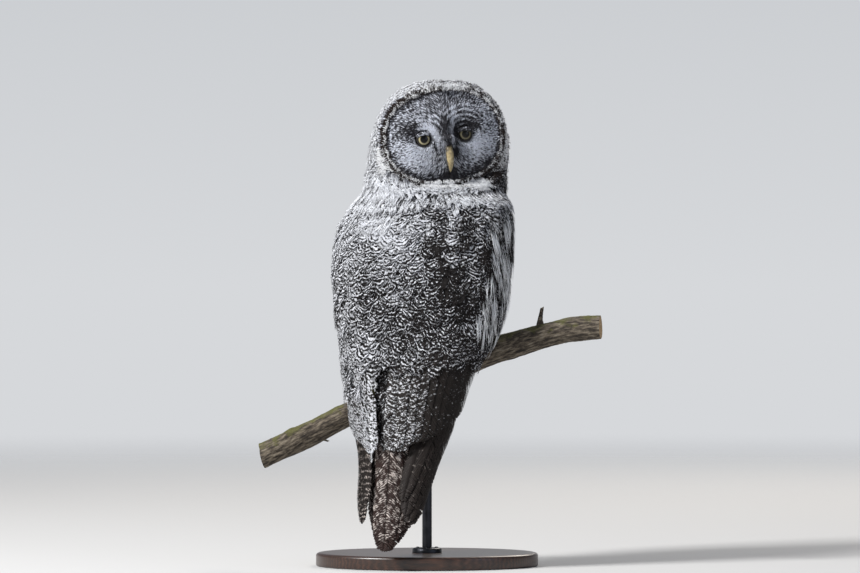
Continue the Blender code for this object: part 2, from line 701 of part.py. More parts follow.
def make_wing(name, side, seed):
    """One folded wing: its core and its tiers of vanes, joined into one closed piece."""
    core = wing_core(name, side)
    vanes = piece_collection(name + "_vanes")
    draw = random.Random(seed)
    for tier, count, roots, tips, root_heights, tip_heights, halves in WING_TIERS:
        spacing = [math.radians(abs(pair[0] - pair[1])) / (count - 1) for pair in (roots, tips)]
        for i in range(count):
            t = i / (count - 1)
            angles = [math.radians(pair[0] + (pair[1] - pair[0]) * t) for pair in (roots, tips)]
            root = root_heights[0] + (root_heights[1] - root_heights[0]) * t
            tip = tip_heights[0] + (tip_heights[1] - tip_heights[0]) * t
            tip = PRIMARY_TIPS[i] if tier == "primary" else tip + draw.uniform(-0.003, 0.003)
            half = halves[0] + (halves[1] - halves[0]) * t
            wing_vane(tier, side, angles, spacing, (root, tip), TIER_LIFTS[tier], half, vanes)
    apply_boolean(core, "UNION", vanes)
    return core


# Tail: twelve feathers in one stack, the middle pair nearest the viewer
def tail_point(right, height, sink):
    """A point of the closed tail: sink runs from its upper face towards the branch."""
    ahead = TAIL_AHEAD_AT_TIP + TAIL_LEAN * (np.asarray(height) - TAIL_TIP) + sink
    ahead = ahead + np.asarray(right) ** 2 / 0.22
    return from_bird(right, ahead, height)


def tail_vane(index, collection, draw):
    """One tail feather, a long blade with a round end."""
    layer = TAIL_FEATHERS - 1 - index
    pair = layer // 2
    side = 1 if layer % 2 else -1
    stations = 5
    share = 1 - (1 - np.linspace(0, 1, stations)) ** 1.3
    tip = TAIL_TIP + 0.0068 * pair + draw.uniform(0, 0.002)
    height = 0.325 + (tip - 0.325) * share
    spread = side * (0.0030 + 0.0040 * pair)
    centre = spread * (0.35 + 0.65 * share)
    half = TAIL_VANE * (1 - 0.03 * pair) * vane_profile(share, 0.16)
    rings = []
    for k in range(stations):
        across = np.array([-1.0, 0.0, 1.0, 1.0, 0.0, -1.0])
        over = np.array([VANE_EDGE, VANE_THICK, VANE_EDGE, 0.0, 0.0, 0.0])
        rings.append(tail_point(centre[k] + across * half[k], height[k], TAIL_LAYER * layer - over))
    closed_loft("tail_vane", rings, FLIGHT, collection)


def tail_block(name, grow, low, collection=None):
    """The stack's root, where the feathers are held together. With grow, a cutter."""
    depth = TAIL_LAYER * (TAIL_FEATHERS - 1)
    rows, columns = 4, 6
    top, bottom = [], []
    for height in np.linspace(low, TAIL_ROOT + grow, rows):
        narrow = 1 - 0.35 * float(ramp(0.29, TAIL_ROOT, height))
        wider = 0.001 + 0.006 * (1 - float(ramp(0.27, 0.31, height))) if grow else 0.0
        right = np.linspace(-1, 1, columns) * (0.0290 * narrow + grow + wider)
        top.append(tail_point(right, height, -0.0022 - grow))
        bottom.append(tail_point(right, height, depth + 0.0014 + grow))
    return closed_slab(name, np.array(top), np.array(bottom), FLIGHT, collection)


def make_tail():
    tail = tail_block("tail", 0.0, 0.262)
    vanes = piece_collection("tail_vanes")
    draw = random.Random(5)
    for index in range(TAIL_FEATHERS):
        tail_vane(index, vanes, draw)
    apply_boolean(tail, "UNION", vanes)
    return tail


# Perch: a cut length of branch, with the stub of a twig
def perch_centre(x):
    z = smooth_table(PERCH_X, PERCH_Z, x)
    y = -math.tan(PERCH_TURN) * np.asarray(x, float)
    return np.stack(np.broadcast_arrays(np.asarray(x, float), y, z), axis=-1)


def perch_frame(x):
    """The branch's own direction at x, and its upward and level crosswise directions."""
    step = perch_centre(x + 0.002) - perch_centre(x - 0.002)
    along = step / np.linalg.norm(step)
    level = np.cross(along, [0.0, 0.0, 1.0])
    level /= np.linalg.norm(level)
    up = np.cross(level, along)
    return along, up, level


def perch_rings(grow, count=16):
    rings = []
    for x in np.linspace(PERCH_X[0], PERCH_X[-1], count):
        centre = perch_centre(x)
        _, up, level = perch_frame(x)
        radius = float(smooth_table(PERCH_X, PERCH_RADII, x)) + grow
        ring = []
        for turn in np.linspace(0, 2 * math.pi, PERCH_SIDES, endpoint=False):
            lump = 1 + 0.035 * math.sin(3 * turn + 40 * x) + 0.02 * math.sin(2 * turn - 70 * x)
            ring.append(centre + radius * (lump if not grow else 1.04) * (up * math.sin(turn) + level * math.cos(turn)))
        rings.append(ring)
    return rings


def make_perch():
    perch = closed_loft("perch", perch_rings(0.0), BARK)
    twig = piece_collection("twig")
    start = perch_centre(0.155)
    along, up, level = perch_frame(0.155)
    line = [start + up * r + along * 0.35 * r for r in (0.006, 0.016, 0.024, 0.030)]
    tube("twig_stub", line, (0.0068, 0.0058, 0.0046, 0.0040), BARK, twig)
    apply_boolean(perch, "UNION", twig)
    return perch


# Legs: a feathered shank on the branch with two toes over it and two behind
def toe_path(foot_x, shift, way, turns):
    """Points that curl round the branch from its top; way is 1 away from the viewer."""
    path = []
    for turn in turns:
        x = foot_x + shift
        _, up, level = perch_frame(x)
        away = level if level[1] > 0 else -level
        radius = float(smooth_table(PERCH_X, PERCH_RADII, x)) * 1.055
        path.append((perch_centre(x), up, away * way, radius, turn))
    return path


def make_leg(name, side, torso_cutters):
    foot_x = side * FOOT_SPREAD
    centre = perch_centre(foot_x)
    _, up, _ = perch_frame(foot_x)
    radius = float(smooth_table(PERCH_X, PERCH_RADII, foot_x)) * 1.055
    pad = centre + up * (radius + TOE_RADIUS + GAP)
    top = from_bird(side * 0.037, 0.004, 0.338)
    line = [pad + (top - pad) * s for s in (0.0, 0.15, 0.45, 0.75, 1.0)]
    swell = [TOE_RADIUS * 1.15, ANKLE_RADIUS * 0.80, ANKLE_RADIUS, (ANKLE_RADIUS + THIGH_RADIUS) / 2, THIGH_RADIUS]
    leg = tube(name, line, swell, PLUMAGE)
    over = top + (top - pad) * 0.012
    room = [r + 3 * GAP for r in swell]
    tube(name + "_room", line + [over], room + [room[-1]], PLUMAGE, torso_cutters)
    toes = piece_collection(name + "_toes")
    claw_rooms = piece_collection(name + "_claw_rooms")
    turns = np.radians((0, 28, 56, 84, 108))
    number = 0
    for way in (1, -1):
        for shift in (-0.0105, 0.0105):
            number += 1
            points, radii = [], []
            for k, (c, u, a, r, turn) in enumerate(toe_path(foot_x, shift * 1.0, way, turns)):
                inward = (1 - min(1.0, k / 2)) * -shift * 0.6
                along, _, _ = perch_frame(foot_x)
                reach = r + TOE_RADIUS + 2 * GAP
                points.append(c + along * inward + (u * math.cos(turn) + a * math.sin(turn)) * reach)
                radii.append(TOE_RADIUS * (1.0, 1.0, 0.98, 0.9, 0.72)[k])
            tube("toe", points, radii, PLUMAGE, toes, 1)
            make_claw(f"claw_{name[4:]}_{number}", foot_x, shift, way, claw_rooms)
    apply_boolean(leg, "UNION", toes)
    apply_boolean(leg, "DIFFERENCE", claw_rooms)
    return leg


def make_claw(name, foot_x, shift, way, rooms):
    """A curved claw that leaves the end of its toe and lies along the bark."""
    turns = np.radians((102, 116, 130, 144, 156))
    points, radii = [], []
    for k, (c, u, a, r, turn) in enumerate(toe_path(foot_x, shift, way, turns)):
        size = CLAW_RADIUS * (1.0, 0.92, 0.72, 0.48, 0.18)[k]
        lift = (0.0030, 0.0042, 0.0038, 0.0022, 0.0012)[k]
        points.append(c + (u * math.cos(turn) + a * math.sin(turn)) * (r + lift + size))
        radii.append(size)
    tube(name, points, radii, CLAW, None, 1)
    behind = points[0] + (points[0] - points[1]) * 0.12
    tube(name + "_room", [behind] + points[1:], [r + 1.5 * GAP for r in radii], CLAW, rooms, 1)


# Stand: a flat base, one rod and its fittings
def make_stand():
    work = bmesh.new()
    bmesh.ops.create_cone(work, cap_ends=True, segments=40, radius1=1.0, radius2=1.0, depth=BASE_THICK)
    bmesh.ops.scale(work, verts=work.verts, vec=(BASE_HALF_X, BASE_HALF_Y, 1.0))
    bmesh.ops.translate(work, verts=work.verts, vec=(0, 0, BASE_THICK / 2))
    mesh = bpy.data.meshes.new("stand_base")
    work.to_mesh(mesh)
    work.free()
    base = new_object("stand_base", mesh, WOOD)
    edge = base.modifiers.new("soft_edge", "BEVEL")
    edge.width = 0.0035
    edge.segments = 1
    edge.limit_method = "ANGLE"
    edge.angle_limit = math.radians(50)
    foot = BASE_THICK + GAP
    rod("stand_flange", (0, 0), FLANGE_RADIUS, foot, foot + FLANGE_THICK, STEEL)
    post_foot = foot + FLANGE_THICK + GAP
    perch_low = float(PERCH_Z[4] - PERCH_RADII[4] / math.cos(math.radians(24)))
    rod("stand_rod", (0, 0), ROD_RADIUS, post_foot, perch_low + 0.014, STEEL)
    return rod("rod_hole", (0, 0), ROD_RADIUS + GAP, perch_low - 0.03, perch_low + 0.014 + GAP, STEEL, CUTTERS)


def torso_ring(height):
    """A ring of the torso: the plumage outline above, the tucked-in end below."""
    turn = np.linspace(0, 2 * math.pi, 26, endpoint=False)
    if height >= TUCK_HEIGHTS[-1]:
        return outline(turn, height)
    return outline(turn, height, 0.0, TUCK_HEIGHTS, TUCK_HALF_WIDTHS, TUCK_BACK, TUCK_WIDE, TUCK_BREAST)


def make_body():
    """The torso, the neck and the head, the wings over them and what they make room for."""
    torso = body_part("torso", TUCK_HEIGHTS[0], NECK_FOOT - GAP / 2, 15, torso_ring)
    body_part("neck", NECK_FOOT + GAP / 2, HEAD_FOOT - GAP / 2, 4, neck_ring)
    head = make_head()
    rooms = piece_collection("torso_rooms")
    for name, side in (("leg_left", -1), ("leg_right", 1)):
        make_leg(name, side, rooms)
    for side in (-1, 1):
        wing_core("wing_room", side, rooms, 2 * GAP)
    tail_block("tail_room", 4 * GAP, 0.20, rooms)
    closed_loft("perch_room", perch_rings(2 * TOE_RADIUS + 0.0015, 9), BARK, rooms)
    apply_boolean(torso, "DIFFERENCE", rooms)
    make_wing("wing_left", -1, 11)
    make_wing("wing_right", 1, 12)
    make_tail()
    eye_rooms = piece_collection("eye_rooms")
    for name, side in (("eye_left", -1), ("eye_right", 1)):
        ball(name, eye_centre(side), EYE_RADIUS, 16, 8, IRIS)
        ball(name + "_room", eye_centre(side), EYE_RADIUS + GAP, 16, 8, IRIS, eye_rooms)
    bill_half("bill_room", False, GAP, HORN, eye_rooms)
    bill_half("lower_bill_room", True, GAP, HORN, eye_rooms)
    apply_boolean(head, "DIFFERENCE", eye_rooms)
    upper = bill_half("bill_upper", False, 0.0, HORN)
    nostrils = piece_collection("nostrils")
    y, out = bill_line(0.24)
    for side in (-1, 1):
        ball("nostril", from_face(side * 0.37 * BILL_WIDTH, y, out + 0.33 * BILL_WIDTH), NOSTRIL_RADIUS, 8, 5, HORN,
             nostrils)
    apply_boolean(upper, "DIFFERENCE", nostrils)
    lower = bill_half("bill_lower", True, 0.0, HORN)
    apply_boolean(lower, "DIFFERENCE", bill_half("mouth_line", False, GAP, HORN, CUTTERS))


def make_part():
    make_body()
    perch = make_perch()
    apply_boolean(perch, "DIFFERENCE", make_stand())
    for item in OWL.objects:
        item.data.shade_smooth()
        item.data.set_sharp_from_angle(angle=math.radians(40))


make_part()
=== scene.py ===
import math

import bpy
import numpy as np
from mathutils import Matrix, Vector
from mathutils.bvhtree import BVHTree


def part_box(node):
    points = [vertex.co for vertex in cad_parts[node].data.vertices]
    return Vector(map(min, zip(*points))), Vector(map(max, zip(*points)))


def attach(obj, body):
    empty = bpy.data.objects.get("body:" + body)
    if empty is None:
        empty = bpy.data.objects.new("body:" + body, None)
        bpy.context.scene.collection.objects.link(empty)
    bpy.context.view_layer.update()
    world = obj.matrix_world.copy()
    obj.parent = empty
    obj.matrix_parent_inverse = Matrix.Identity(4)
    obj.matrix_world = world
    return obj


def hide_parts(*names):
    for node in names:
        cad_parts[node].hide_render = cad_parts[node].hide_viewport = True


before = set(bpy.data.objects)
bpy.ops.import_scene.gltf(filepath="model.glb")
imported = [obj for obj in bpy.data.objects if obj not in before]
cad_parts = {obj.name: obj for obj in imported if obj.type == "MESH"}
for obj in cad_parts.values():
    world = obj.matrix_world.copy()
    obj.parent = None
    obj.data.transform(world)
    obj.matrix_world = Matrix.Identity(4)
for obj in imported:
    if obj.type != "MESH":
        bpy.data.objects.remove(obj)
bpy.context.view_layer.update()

# Studio
# A pale floor, a pale surround and soft lamps. The large key lamp hangs high on the left,
# so the bird's right side falls into shade as it does under the trees.
FLOOR_HALF = 6.0
FLOOR_CLEAR, FLOOR_GONE = 1.2, 5.6
CAMERA_PLACE = (0.004, -6.0, 0.377)
CAMERA_LENS, SENSOR_WIDTH = 186.0, 36.0
LAMP_AIM = (0.0, 0.0, 0.38)
# Each lamp: its name, place, power in watts, size and colour
LAMPS = (("key_lamp", (-3.1, -2.1, 3.1), 300.0, 1.0, "#FFFFFF"),
         ("fill_lamp", (3.0, -2.6, 1.4), 16.0, 2.0, "#DDE6FF"),
         ("back_lamp", (1.2, 3.0, 2.6), 60.0, 1.5, "#FFF6EA"))


def linear(code):
    """An sRGB hex colour as linear RGBA, by the sRGB curve."""
    parts = [int(code[i:i + 2], 16) / 255 for i in (1, 3, 5)]
    return (*[c / 12.92 if c <= 0.04045 else ((c + 0.055) / 1.055) ** 2.4 for c in parts], 1.0)


def add(tree, kind, inputs=None, stops=None, **settings):
    """Adds one node: settings are its own options, inputs its sockets' values or links,
    and stops the places and colours of a colour ramp."""
    made = tree.nodes.new("ShaderNode" + kind)
    for key, value in settings.items():
        setattr(made, key, value)
    for key, value in (inputs or {}).items():
        if isinstance(value, bpy.types.Node):
            value = value.outputs[0]
        if isinstance(value, bpy.types.NodeSocket):
            tree.links.new(value, made.inputs[key])
        else:
            made.inputs[key].default_value = value
    if stops:
        ramp_stops = made.color_ramp.elements
        while len(ramp_stops) < len(stops):
            ramp_stops.new(0.5)
        for stop, (place, code) in zip(ramp_stops, stops):
            stop.position = place
            stop.color = linear(code)
    return made


def shades(tree, value, *stops):
    """Colours by value, blended between stops of (place, colour)."""
    return add(tree, "ValToRGB", {"Fac": value}, stops=stops)


def between(tree, value, low, high, at_low=0.0, at_high=1.0, **settings):
    """at_low where value is low or less, at_high where it is high or more."""
    return add(tree, "MapRange", {"Value": value, "From Min": low, "From Max": high, "To Min": at_low,
                                  "To Max": at_high}, **settings).outputs["Result"]


def blend(tree, share, first, second):
    """Two colours mixed; share is how much of the second."""
    return add(tree, "MixRGB", {"Fac": share, "Color1": first, "Color2": second})


def coordinates(tree):
    """The piece's own coordinates, in metres."""
    return add(tree, "TexCoord").outputs["Object"]


def new_material(name):
    """An empty material and its node tree."""
    made = bpy.data.materials.new(name)
    made.use_nodes = True
    made.node_tree.nodes.clear()
    return made, made.node_tree


def placed(name, data):
    """A new object in the scene."""
    made = bpy.data.objects.new(name, data)
    bpy.context.scene.collection.objects.link(made)
    return made


def mesh_piece(name, points, loops, totals, material):
    """A smooth mesh at the origin from arrays: points, then each face's corner indices in
    a row and how many corners each face has."""
    mesh = bpy.data.meshes.new(name)
    points = np.ascontiguousarray(points, np.float32).reshape(-1, 3)
    loops = np.asarray(loops, np.int32).ravel()
    totals = np.asarray(totals, np.int32)
    mesh.vertices.add(len(points))
    mesh.vertices.foreach_set("co", points.ravel())
    mesh.loops.add(len(loops))
    mesh.loops.foreach_set("vertex_index", loops)
    mesh.polygons.add(len(totals))
    starts = np.concatenate([[0], np.cumsum(totals)[:-1]])
    mesh.polygons.foreach_set("loop_start", starts.astype(np.int32))
    mesh.update(calc_edges=True)
    mesh.shade_smooth()
    mesh.materials.append(material)
    return placed(name, mesh)


# Matt paper scatters light evenly and has no pattern. It fades out between 1.2 and 5.6 m,
# so that the floor passes into the surround with no edge.
floor_mat, tree = new_material("matt_white_backdrop_paper")
distance = add(tree, "VectorMath", {0: coordinates(tree)}, operation="LENGTH").outputs["Value"]
fade = between(tree, distance, FLOOR_CLEAR, FLOOR_GONE, interpolation_type="SMOOTHSTEP")
paper = add(tree, "BsdfPrincipled", {"Base Color": linear("#CFCECC"), "Roughness": 0.9})
faded = add(tree, "MixShader", {0: fade, 1: paper, 2: add(tree, "BsdfTransparent")})
add(tree, "OutputMaterial", {"Surface": faded})
corners = [(x * FLOOR_HALF, y * FLOOR_HALF, 0) for x, y in ((-1, -1), (1, -1), (1, 1), (-1, 1))]
floor = mesh_piece("studio_floor", corners, (0, 1, 2, 3), (4,), floor_mat)

world = bpy.data.worlds.new("studio_surround")
bpy.context.scene.world = world
world.use_nodes = True
tree = world.node_tree
way = add(tree, "SeparateXYZ", {"Vector": add(tree, "TexCoord").outputs["Generated"]}).outputs
sky = shades(tree, way["Z"], (0.0, "#D6D8DB"), (0.09, "#C8CBCF"), (0.24, "#7A7E86"), (0.85, "#949BA6"))
sky = blend(tree, between(tree, way["X"], 0.20, 0.85, 0.0, 0.60), sky, linear("#42464C"))
tree.links.new(sky.outputs["Color"], tree.nodes["Background"].inputs["Color"])
tree.nodes["Background"].inputs["Strength"].default_value = 1.0

for lamp_name, place, energy, size, colour in LAMPS:
    lamp = bpy.data.lights.new(lamp_name, "AREA")
    lamp.energy = energy
    lamp.size = size
    lamp.color = linear(colour)[:3]
    hung = placed(lamp_name, lamp)
    hung.location = place
    hung.rotation_euler = (Vector(LAMP_AIM) - Vector(place)).to_track_quat("-Z", "Y").to_euler()

camera = bpy.data.cameras.new("photo_camera")
camera.lens, camera.sensor_width = CAMERA_LENS, SENSOR_WIDTH
camera.clip_start, camera.clip_end = 0.1, 100.0
viewer = placed("photo_camera", camera)
viewer.location = CAMERA_PLACE
viewer.rotation_euler = (math.pi / 2, 0.0, 0.0)
bpy.context.scene.camera = viewer
bpy.context.scene.view_settings.view_transform = "Standard"

# Display base
# An elliptical board turned from dark stained beech, with a rounded edge and a satin
# lacquer. It carries the rod that holds the cut branch up.
BASE_HALF_X, BASE_HALF_Y = 0.150, 0.115
BASE_THICK, BASE_ROUND = 0.018, 0.0040


def calc(tree, operation, *values):
    """A sum on two or three values or links."""
    return add(tree, "Math", dict(enumerate(values)), operation=operation)


def noise(tree, place, scale, detail=2.0, roughness=0.5):
    """A noise from 0 to 1 with scale lumps to the metre."""
    return add(tree, "TexNoise", {"Vector": place, "Scale": scale, "Detail": detail,
                                  "Roughness": roughness}).outputs["Fac"]


def long_noise(tree, place, scale, detail=2.0, roughness=0.5):
    """A noise with its own count of lumps to the metre in each direction."""
    return noise(tree, add(tree, "Mapping", {"Vector": place, "Scale": scale}), 1.0, detail, roughness)


def close_material(tree, colour, roughness, others=None, bump=None):
    """Ends a material with its surface; others are more of the shader's sockets, and bump
    is a height with its strength and its depth in metres."""
    inputs = {"Base Color": colour, "Roughness": roughness, **(others or {})}
    if bump:
        inputs["Normal"] = add(tree, "Bump", dict(zip(("Height", "Strength", "Distance"), bump)))
    add(tree, "OutputMaterial", {"Surface": add(tree, "BsdfPrincipled", inputs)})


def bind(piece, slot, *nodes):
    """Ties a piece to the model's one body and hides the CAD nodes it stands for; slot is not used."""
    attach(piece, "root")
    if nodes:
        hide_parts(*nodes)


def stack(*parts):
    """Numbers side by side on a last axis, spread to one shape first."""
    return np.stack(np.broadcast_arrays(*parts), -1)


def full_turn(count):
    """Even angles once round a circle."""
    return np.linspace(0, 2 * math.pi, count, endpoint=False)


def grid_faces(rows, columns):
    """Quads over a grid of points in rows, each row closed on itself."""
    i, j = np.meshgrid(np.arange(rows - 1), np.arange(columns), indexing="ij")
    k = (j + 1) % columns
    here, after = i * columns, (i + 1) * columns
    return stack(here + j, here + k, after + k, after + j).reshape(-1, 4)


def loft_piece(name, rings, material):
    """A closed surface through rings (rows, columns, 3), with a pole at either end."""
    rings = np.asarray(rings, float)
    rows, columns = rings.shape[:2]
    points = np.concatenate([rings.reshape(-1, 3), rings[:1].mean(1), rings[-1:].mean(1)])
    sides = grid_faces(rows, columns)
    j = np.arange(columns)
    k = (j + 1) % columns
    pole, last = rows * columns, (rows - 1) * columns
    fans = (stack(pole, k, j), stack(pole + 1, last + j, last + k))
    loops = np.concatenate([faces.ravel() for faces in (sides, *fans)])
    totals = np.concatenate([np.full(len(sides), 4), np.full(2 * columns, 3)])
    return mesh_piece(name, points, loops, totals, material)


def turned_rings(profile, sides, half_x=1.0, half_y=1.0):
    """Rings of a turned shape from (radius, height) stations, scaled to an ellipse."""
    turn = full_turn(sides)
    radius, height = (column[:, None] for column in np.array(profile, float).T)
    return stack(radius * half_x * np.cos(turn), radius * half_y * np.sin(turn), height)


def keep_sharp(piece, degrees):
    """Keeps the edges crisp where faces meet at more than this angle."""
    piece.data.set_sharp_from_angle(angle=math.radians(degrees))


# Stained beech gives the eye a dark red-brown of low contrast, with straight grain about
# 4 mm apart and flecks 1 mm wide and 11 mm long. The lacquer adds a soft broad highlight.
wood_mat, tree = new_material("dark_stained_beech_satin_lacquer")
coords = coordinates(tree)
lengthwise = add(tree, "Mapping", {"Vector": coords, "Scale": (1.0, 9.0, 9.0)})
grain = add(tree, "TexWave", {"Vector": lengthwise, "Scale": 9.0, "Distortion": 5.0, "Detail": 3.0,
                              "Detail Scale": 2.0}, bands_direction="Y").outputs["Fac"]
flecks = long_noise(tree, coords, (90.0, 900.0, 900.0))
mixed = calc(tree, "MULTIPLY", grain, noise(tree, lengthwise, 6.0, 3.0))
mixed = calc(tree, "MULTIPLY", calc(tree, "ADD", mixed, flecks), 0.62)
close_material(tree, shades(tree, mixed, (0.18, "#1C110B"), (0.55, "#3A2418"), (0.9, "#54362A")), 0.38,
               {"Coat Weight": 0.35, "Coat Roughness": 0.22}, (flecks, 0.12, 0.0004))

arc = np.linspace(0, math.pi / 2, 7)
by_sine, by_cosine = BASE_ROUND * (1 - np.sin(arc)), BASE_ROUND * (1 - np.cos(arc))
profile = [(0.02, 0.0), (0.9, 0.0), *zip(1 - by_sine / BASE_HALF_Y, by_cosine * 0.5),
           *zip(1 - by_cosine / BASE_HALF_Y, BASE_THICK - by_sine),
           (0.9, BASE_THICK), (0.5, BASE_THICK), (0.02, BASE_THICK)]
base = loft_piece("display_base", turned_rings(profile, 96, BASE_HALF_X, BASE_HALF_Y), wood_mat)
keep_sharp(base, 60)
bind(base, "stand_wood", "stand_base")

# Rod and flange
# A straight rod of blackened mild steel in a turned flange, held to the board by three
# countersunk screws.
ROD_RADIUS, ROD_CHAMFER = 0.0065, 0.0005
FLANGE_RADIUS, FLANGE_BORE = 0.020, 0.0098
FLANGE_LOW, FLANGE_HIGH = (corner.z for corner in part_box("stand_flange"))
ROD_LOW, ROD_HIGH = (corner.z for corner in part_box("stand_rod"))
SCREW_CIRCLE = 0.0145
# A screw's head from its rim to the bottom of its recess, as radius and height
SCREW_PROFILE = ((0.0026, -0.0004), (0.0026, 0.0003), (0.0021, 0.0009), (0.0012, 0.0011), (0.0011, 0.0003))

# Oil blacking looks dark grey, half shiny and a little uneven, in patches 17 mm across.
# Drawing the bar left marks 0.3 mm wide and 11 mm long.
steel_mat, tree = new_material("oil_blackened_mild_steel")
coords = coordinates(tree)
patches = noise(tree, coords, 60.0, 4.0)
drawn = long_noise(tree, coords, (3000.0, 3000.0, 90.0))
close_material(tree, shades(tree, patches, (0.3, "#26272A"), (0.7, "#3D3E42")),
               between(tree, patches, 0.3, 0.7, 0.30, 0.48), {"Metallic": 1.0}, (drawn, 0.08, 0.0002))

rod = loft_piece("steel_rod", turned_rings(
    [(ROD_RADIUS * 0.93, ROD_LOW), (ROD_RADIUS, ROD_LOW + ROD_CHAMFER)]
    + [(ROD_RADIUS, ROD_LOW + (ROD_HIGH - ROD_LOW) * s) for s in np.linspace(0.02, 0.98, 12)]
    + [(ROD_RADIUS * 0.99, ROD_HIGH)], 48), steel_mat)
flange = loft_piece("steel_flange", turned_rings(
    [(FLANGE_RADIUS, FLANGE_LOW), (FLANGE_RADIUS, FLANGE_HIGH - 0.0022),
     (FLANGE_RADIUS - 0.0009, FLANGE_HIGH - 0.0008), (FLANGE_RADIUS - 0.0022, FLANGE_HIGH),
     (FLANGE_BORE, FLANGE_HIGH)], 72), steel_mat)
for part, node_name in ((rod, "stand_rod"), (flange, "stand_flange")):
    keep_sharp(part, 40)
    bind(part, "stand_steel", node_name)
for number in range(3):
    turn = math.radians(30 + 120 * number)
    head = turned_rings([(radius, FLANGE_HIGH + rise) for radius, rise in SCREW_PROFILE], 32)
    head += (SCREW_CIRCLE * math.cos(turn), SCREW_CIRCLE * math.sin(turn), 0)
    bind(loft_piece(f"flange_screw_{number + 1}", head, steel_mat), "stand_steel")

# Branch
# A cut length of a dead conifer branch: grey-brown bark with long furrows, small knots,
# three stubs of twigs, sawn ends, and moss on its upper side. The bird grips it.
# Stations along the branch, with the height of its middle and its radius at each
BRANCH_X = (-0.223, -0.160, -0.110, -0.055, 0.000, 0.055, 0.110, 0.160, 0.195, 0.233)
BRANCH_Z = (0.1465, 0.1770, 0.2020, 0.2270, 0.2516, 0.2755, 0.2965, 0.3120, 0.3195, 0.3220)
BRANCH_RADII = (0.0178, 0.0172, 0.0165, 0.0168, 0.0172, 0.0178, 0.0182, 0.0170, 0.0172, 0.0165)
BRANCH_TURN = math.radians(10.0)
MEAN_RADIUS = 0.0172
BARK_ROWS, BARK_SIDES = 520, 132
UP = np.array([0.0, 0.0, 1.0])
# The rings on a sawn end, as shares of its radius
CAP_SHARES = (0.05, 0.25, 0.5, 0.75, 0.93)
# Each knot: its place along the branch, its angle round it, its size and its height
KNOTS = ((0.094, 1.25, 0.0090, 0.0030), (-0.118, 2.2, 0.0080, 0.0026), (0.187, -0.5, 0.0070, 0.0022),
         (-0.062, 0.4, 0.0065, 0.0020), (0.128, 2.7, 0.0085, 0.0024), (-0.180, 0.9, 0.0080, 0.0026))
TWIG_ROWS, TWIG_SIDES = 34, 28
# Each twig: its name, place along, angle round, lean along the branch, length and width
TWIGS = (("twig_stub_upper", 0.155, math.pi / 2, 0.35, 0.0245, 0.0040),
         ("twig_stub_front", 0.094, 3.5, -0.5, 0.0120, 0.0026),
         ("twig_stub_lower", -0.150, 4.3, 0.6, 0.0100, 0.0024))


def split(tree, attribute):
    """The three numbers of a mesh attribute."""
    held = add(tree, "Attribute", attribute_name=attribute).outputs["Vector"]
    return add(tree, "SeparateXYZ", {"Vector": held}).outputs


def put_attribute(piece, name, values):
    """A vector per point of the mesh, for the material's patterns."""
    held = piece.data.attributes.new(name, "FLOAT_VECTOR", "POINT")
    held.data.foreach_set("vector", np.ascontiguousarray(values, np.float32).ravel())


def unit(vectors):
    """Vectors scaled to a length of 1."""
    return vectors / np.maximum(np.linalg.norm(vectors, axis=-1, keepdims=True), 1e-9)


def circle(turn, start, quarter):
    """Unit steps from a circle's centre: start is the way at 0, quarter that at 90 degrees."""
    return np.cos(turn)[..., None] * start + np.sin(turn)[..., None] * quarter


def smooth_table(xs, ys, x):
    """A monotone cubic through the stations: slopes are harmonic means of the steps, and
    zero where the values turn round, so that the curve has no kinks or overshoot."""
    xs, ys = np.asarray(xs, float), np.asarray(ys, float)
    step = np.diff(xs)
    slope = np.diff(ys) / step
    tangent = np.zeros(len(xs))
    tangent[0], tangent[-1] = slope[0], slope[-1]
    for i in range(1, len(xs) - 1):
        if slope[i - 1] * slope[i] > 0:
            ahead = 2 * step[i] + step[i - 1]
            behind = step[i] + 2 * step[i - 1]
            tangent[i] = (ahead + behind) / (ahead / slope[i - 1] + behind / slope[i])
    x = np.clip(np.asarray(x, float), xs[0], xs[-1])
    k = np.clip(np.searchsorted(xs, x) - 1, 0, len(step) - 1)
    t = (x - xs[k]) / step[k]
    return ((2 * t**3 - 3 * t**2 + 1) * ys[k] + (t**3 - 2 * t**2 + t) * step[k] * tangent[k]
            + (3 * t**2 - 2 * t**3) * ys[k + 1] + (t**3 - t**2) * step[k] * tangent[k + 1])


def ramp(low, high, x):
    """0 at low and 1 at high, with a smooth rise: three squares less two cubes."""
    t = np.clip((np.asarray(x, float) - low) / (high - low), 0.0, 1.0)
    return t * t * (3 - 2 * t)


def lumps(points, size, seed):
    """Value noise from -1 to 1: random numbers on a lattice of the given cell size,
    blended between the cell's eight corners."""
    table = np.random.default_rng(seed).uniform(-1, 1, (32, 32, 32))
    p = np.asarray(points, float) / size
    cell = np.floor(p).astype(int)
    t = ramp(0.0, 1.0, p - cell)
    total = 0.0
    for corner in range(8):
        step = np.array([corner & 1, corner >> 1 & 1, corner >> 2 & 1])
        where = (cell + step) % 32
        share = np.prod(np.where(step, t, 1 - t), -1)
        total = total + share * table[where[..., 0], where[..., 1], where[..., 2]]
    return total


def branch_centre(x):
    """The branch's middle line at x."""
    x = np.asarray(x, float)
    return stack(x, -math.tan(BRANCH_TURN) * x, smooth_table(BRANCH_X, BRANCH_Z, x))


def branch_radius(x):
    """The branch's mean radius at x."""
    return smooth_table(BRANCH_X, BRANCH_RADII, x)


def branch_frame(x):
    """The branch's direction at x, and its upward and level crosswise directions."""
    along = unit(branch_centre(np.asarray(x) + 0.002) - branch_centre(np.asarray(x) - 0.002))
    level = unit(np.cross(along, UP))
    return along, np.cross(level, along), level


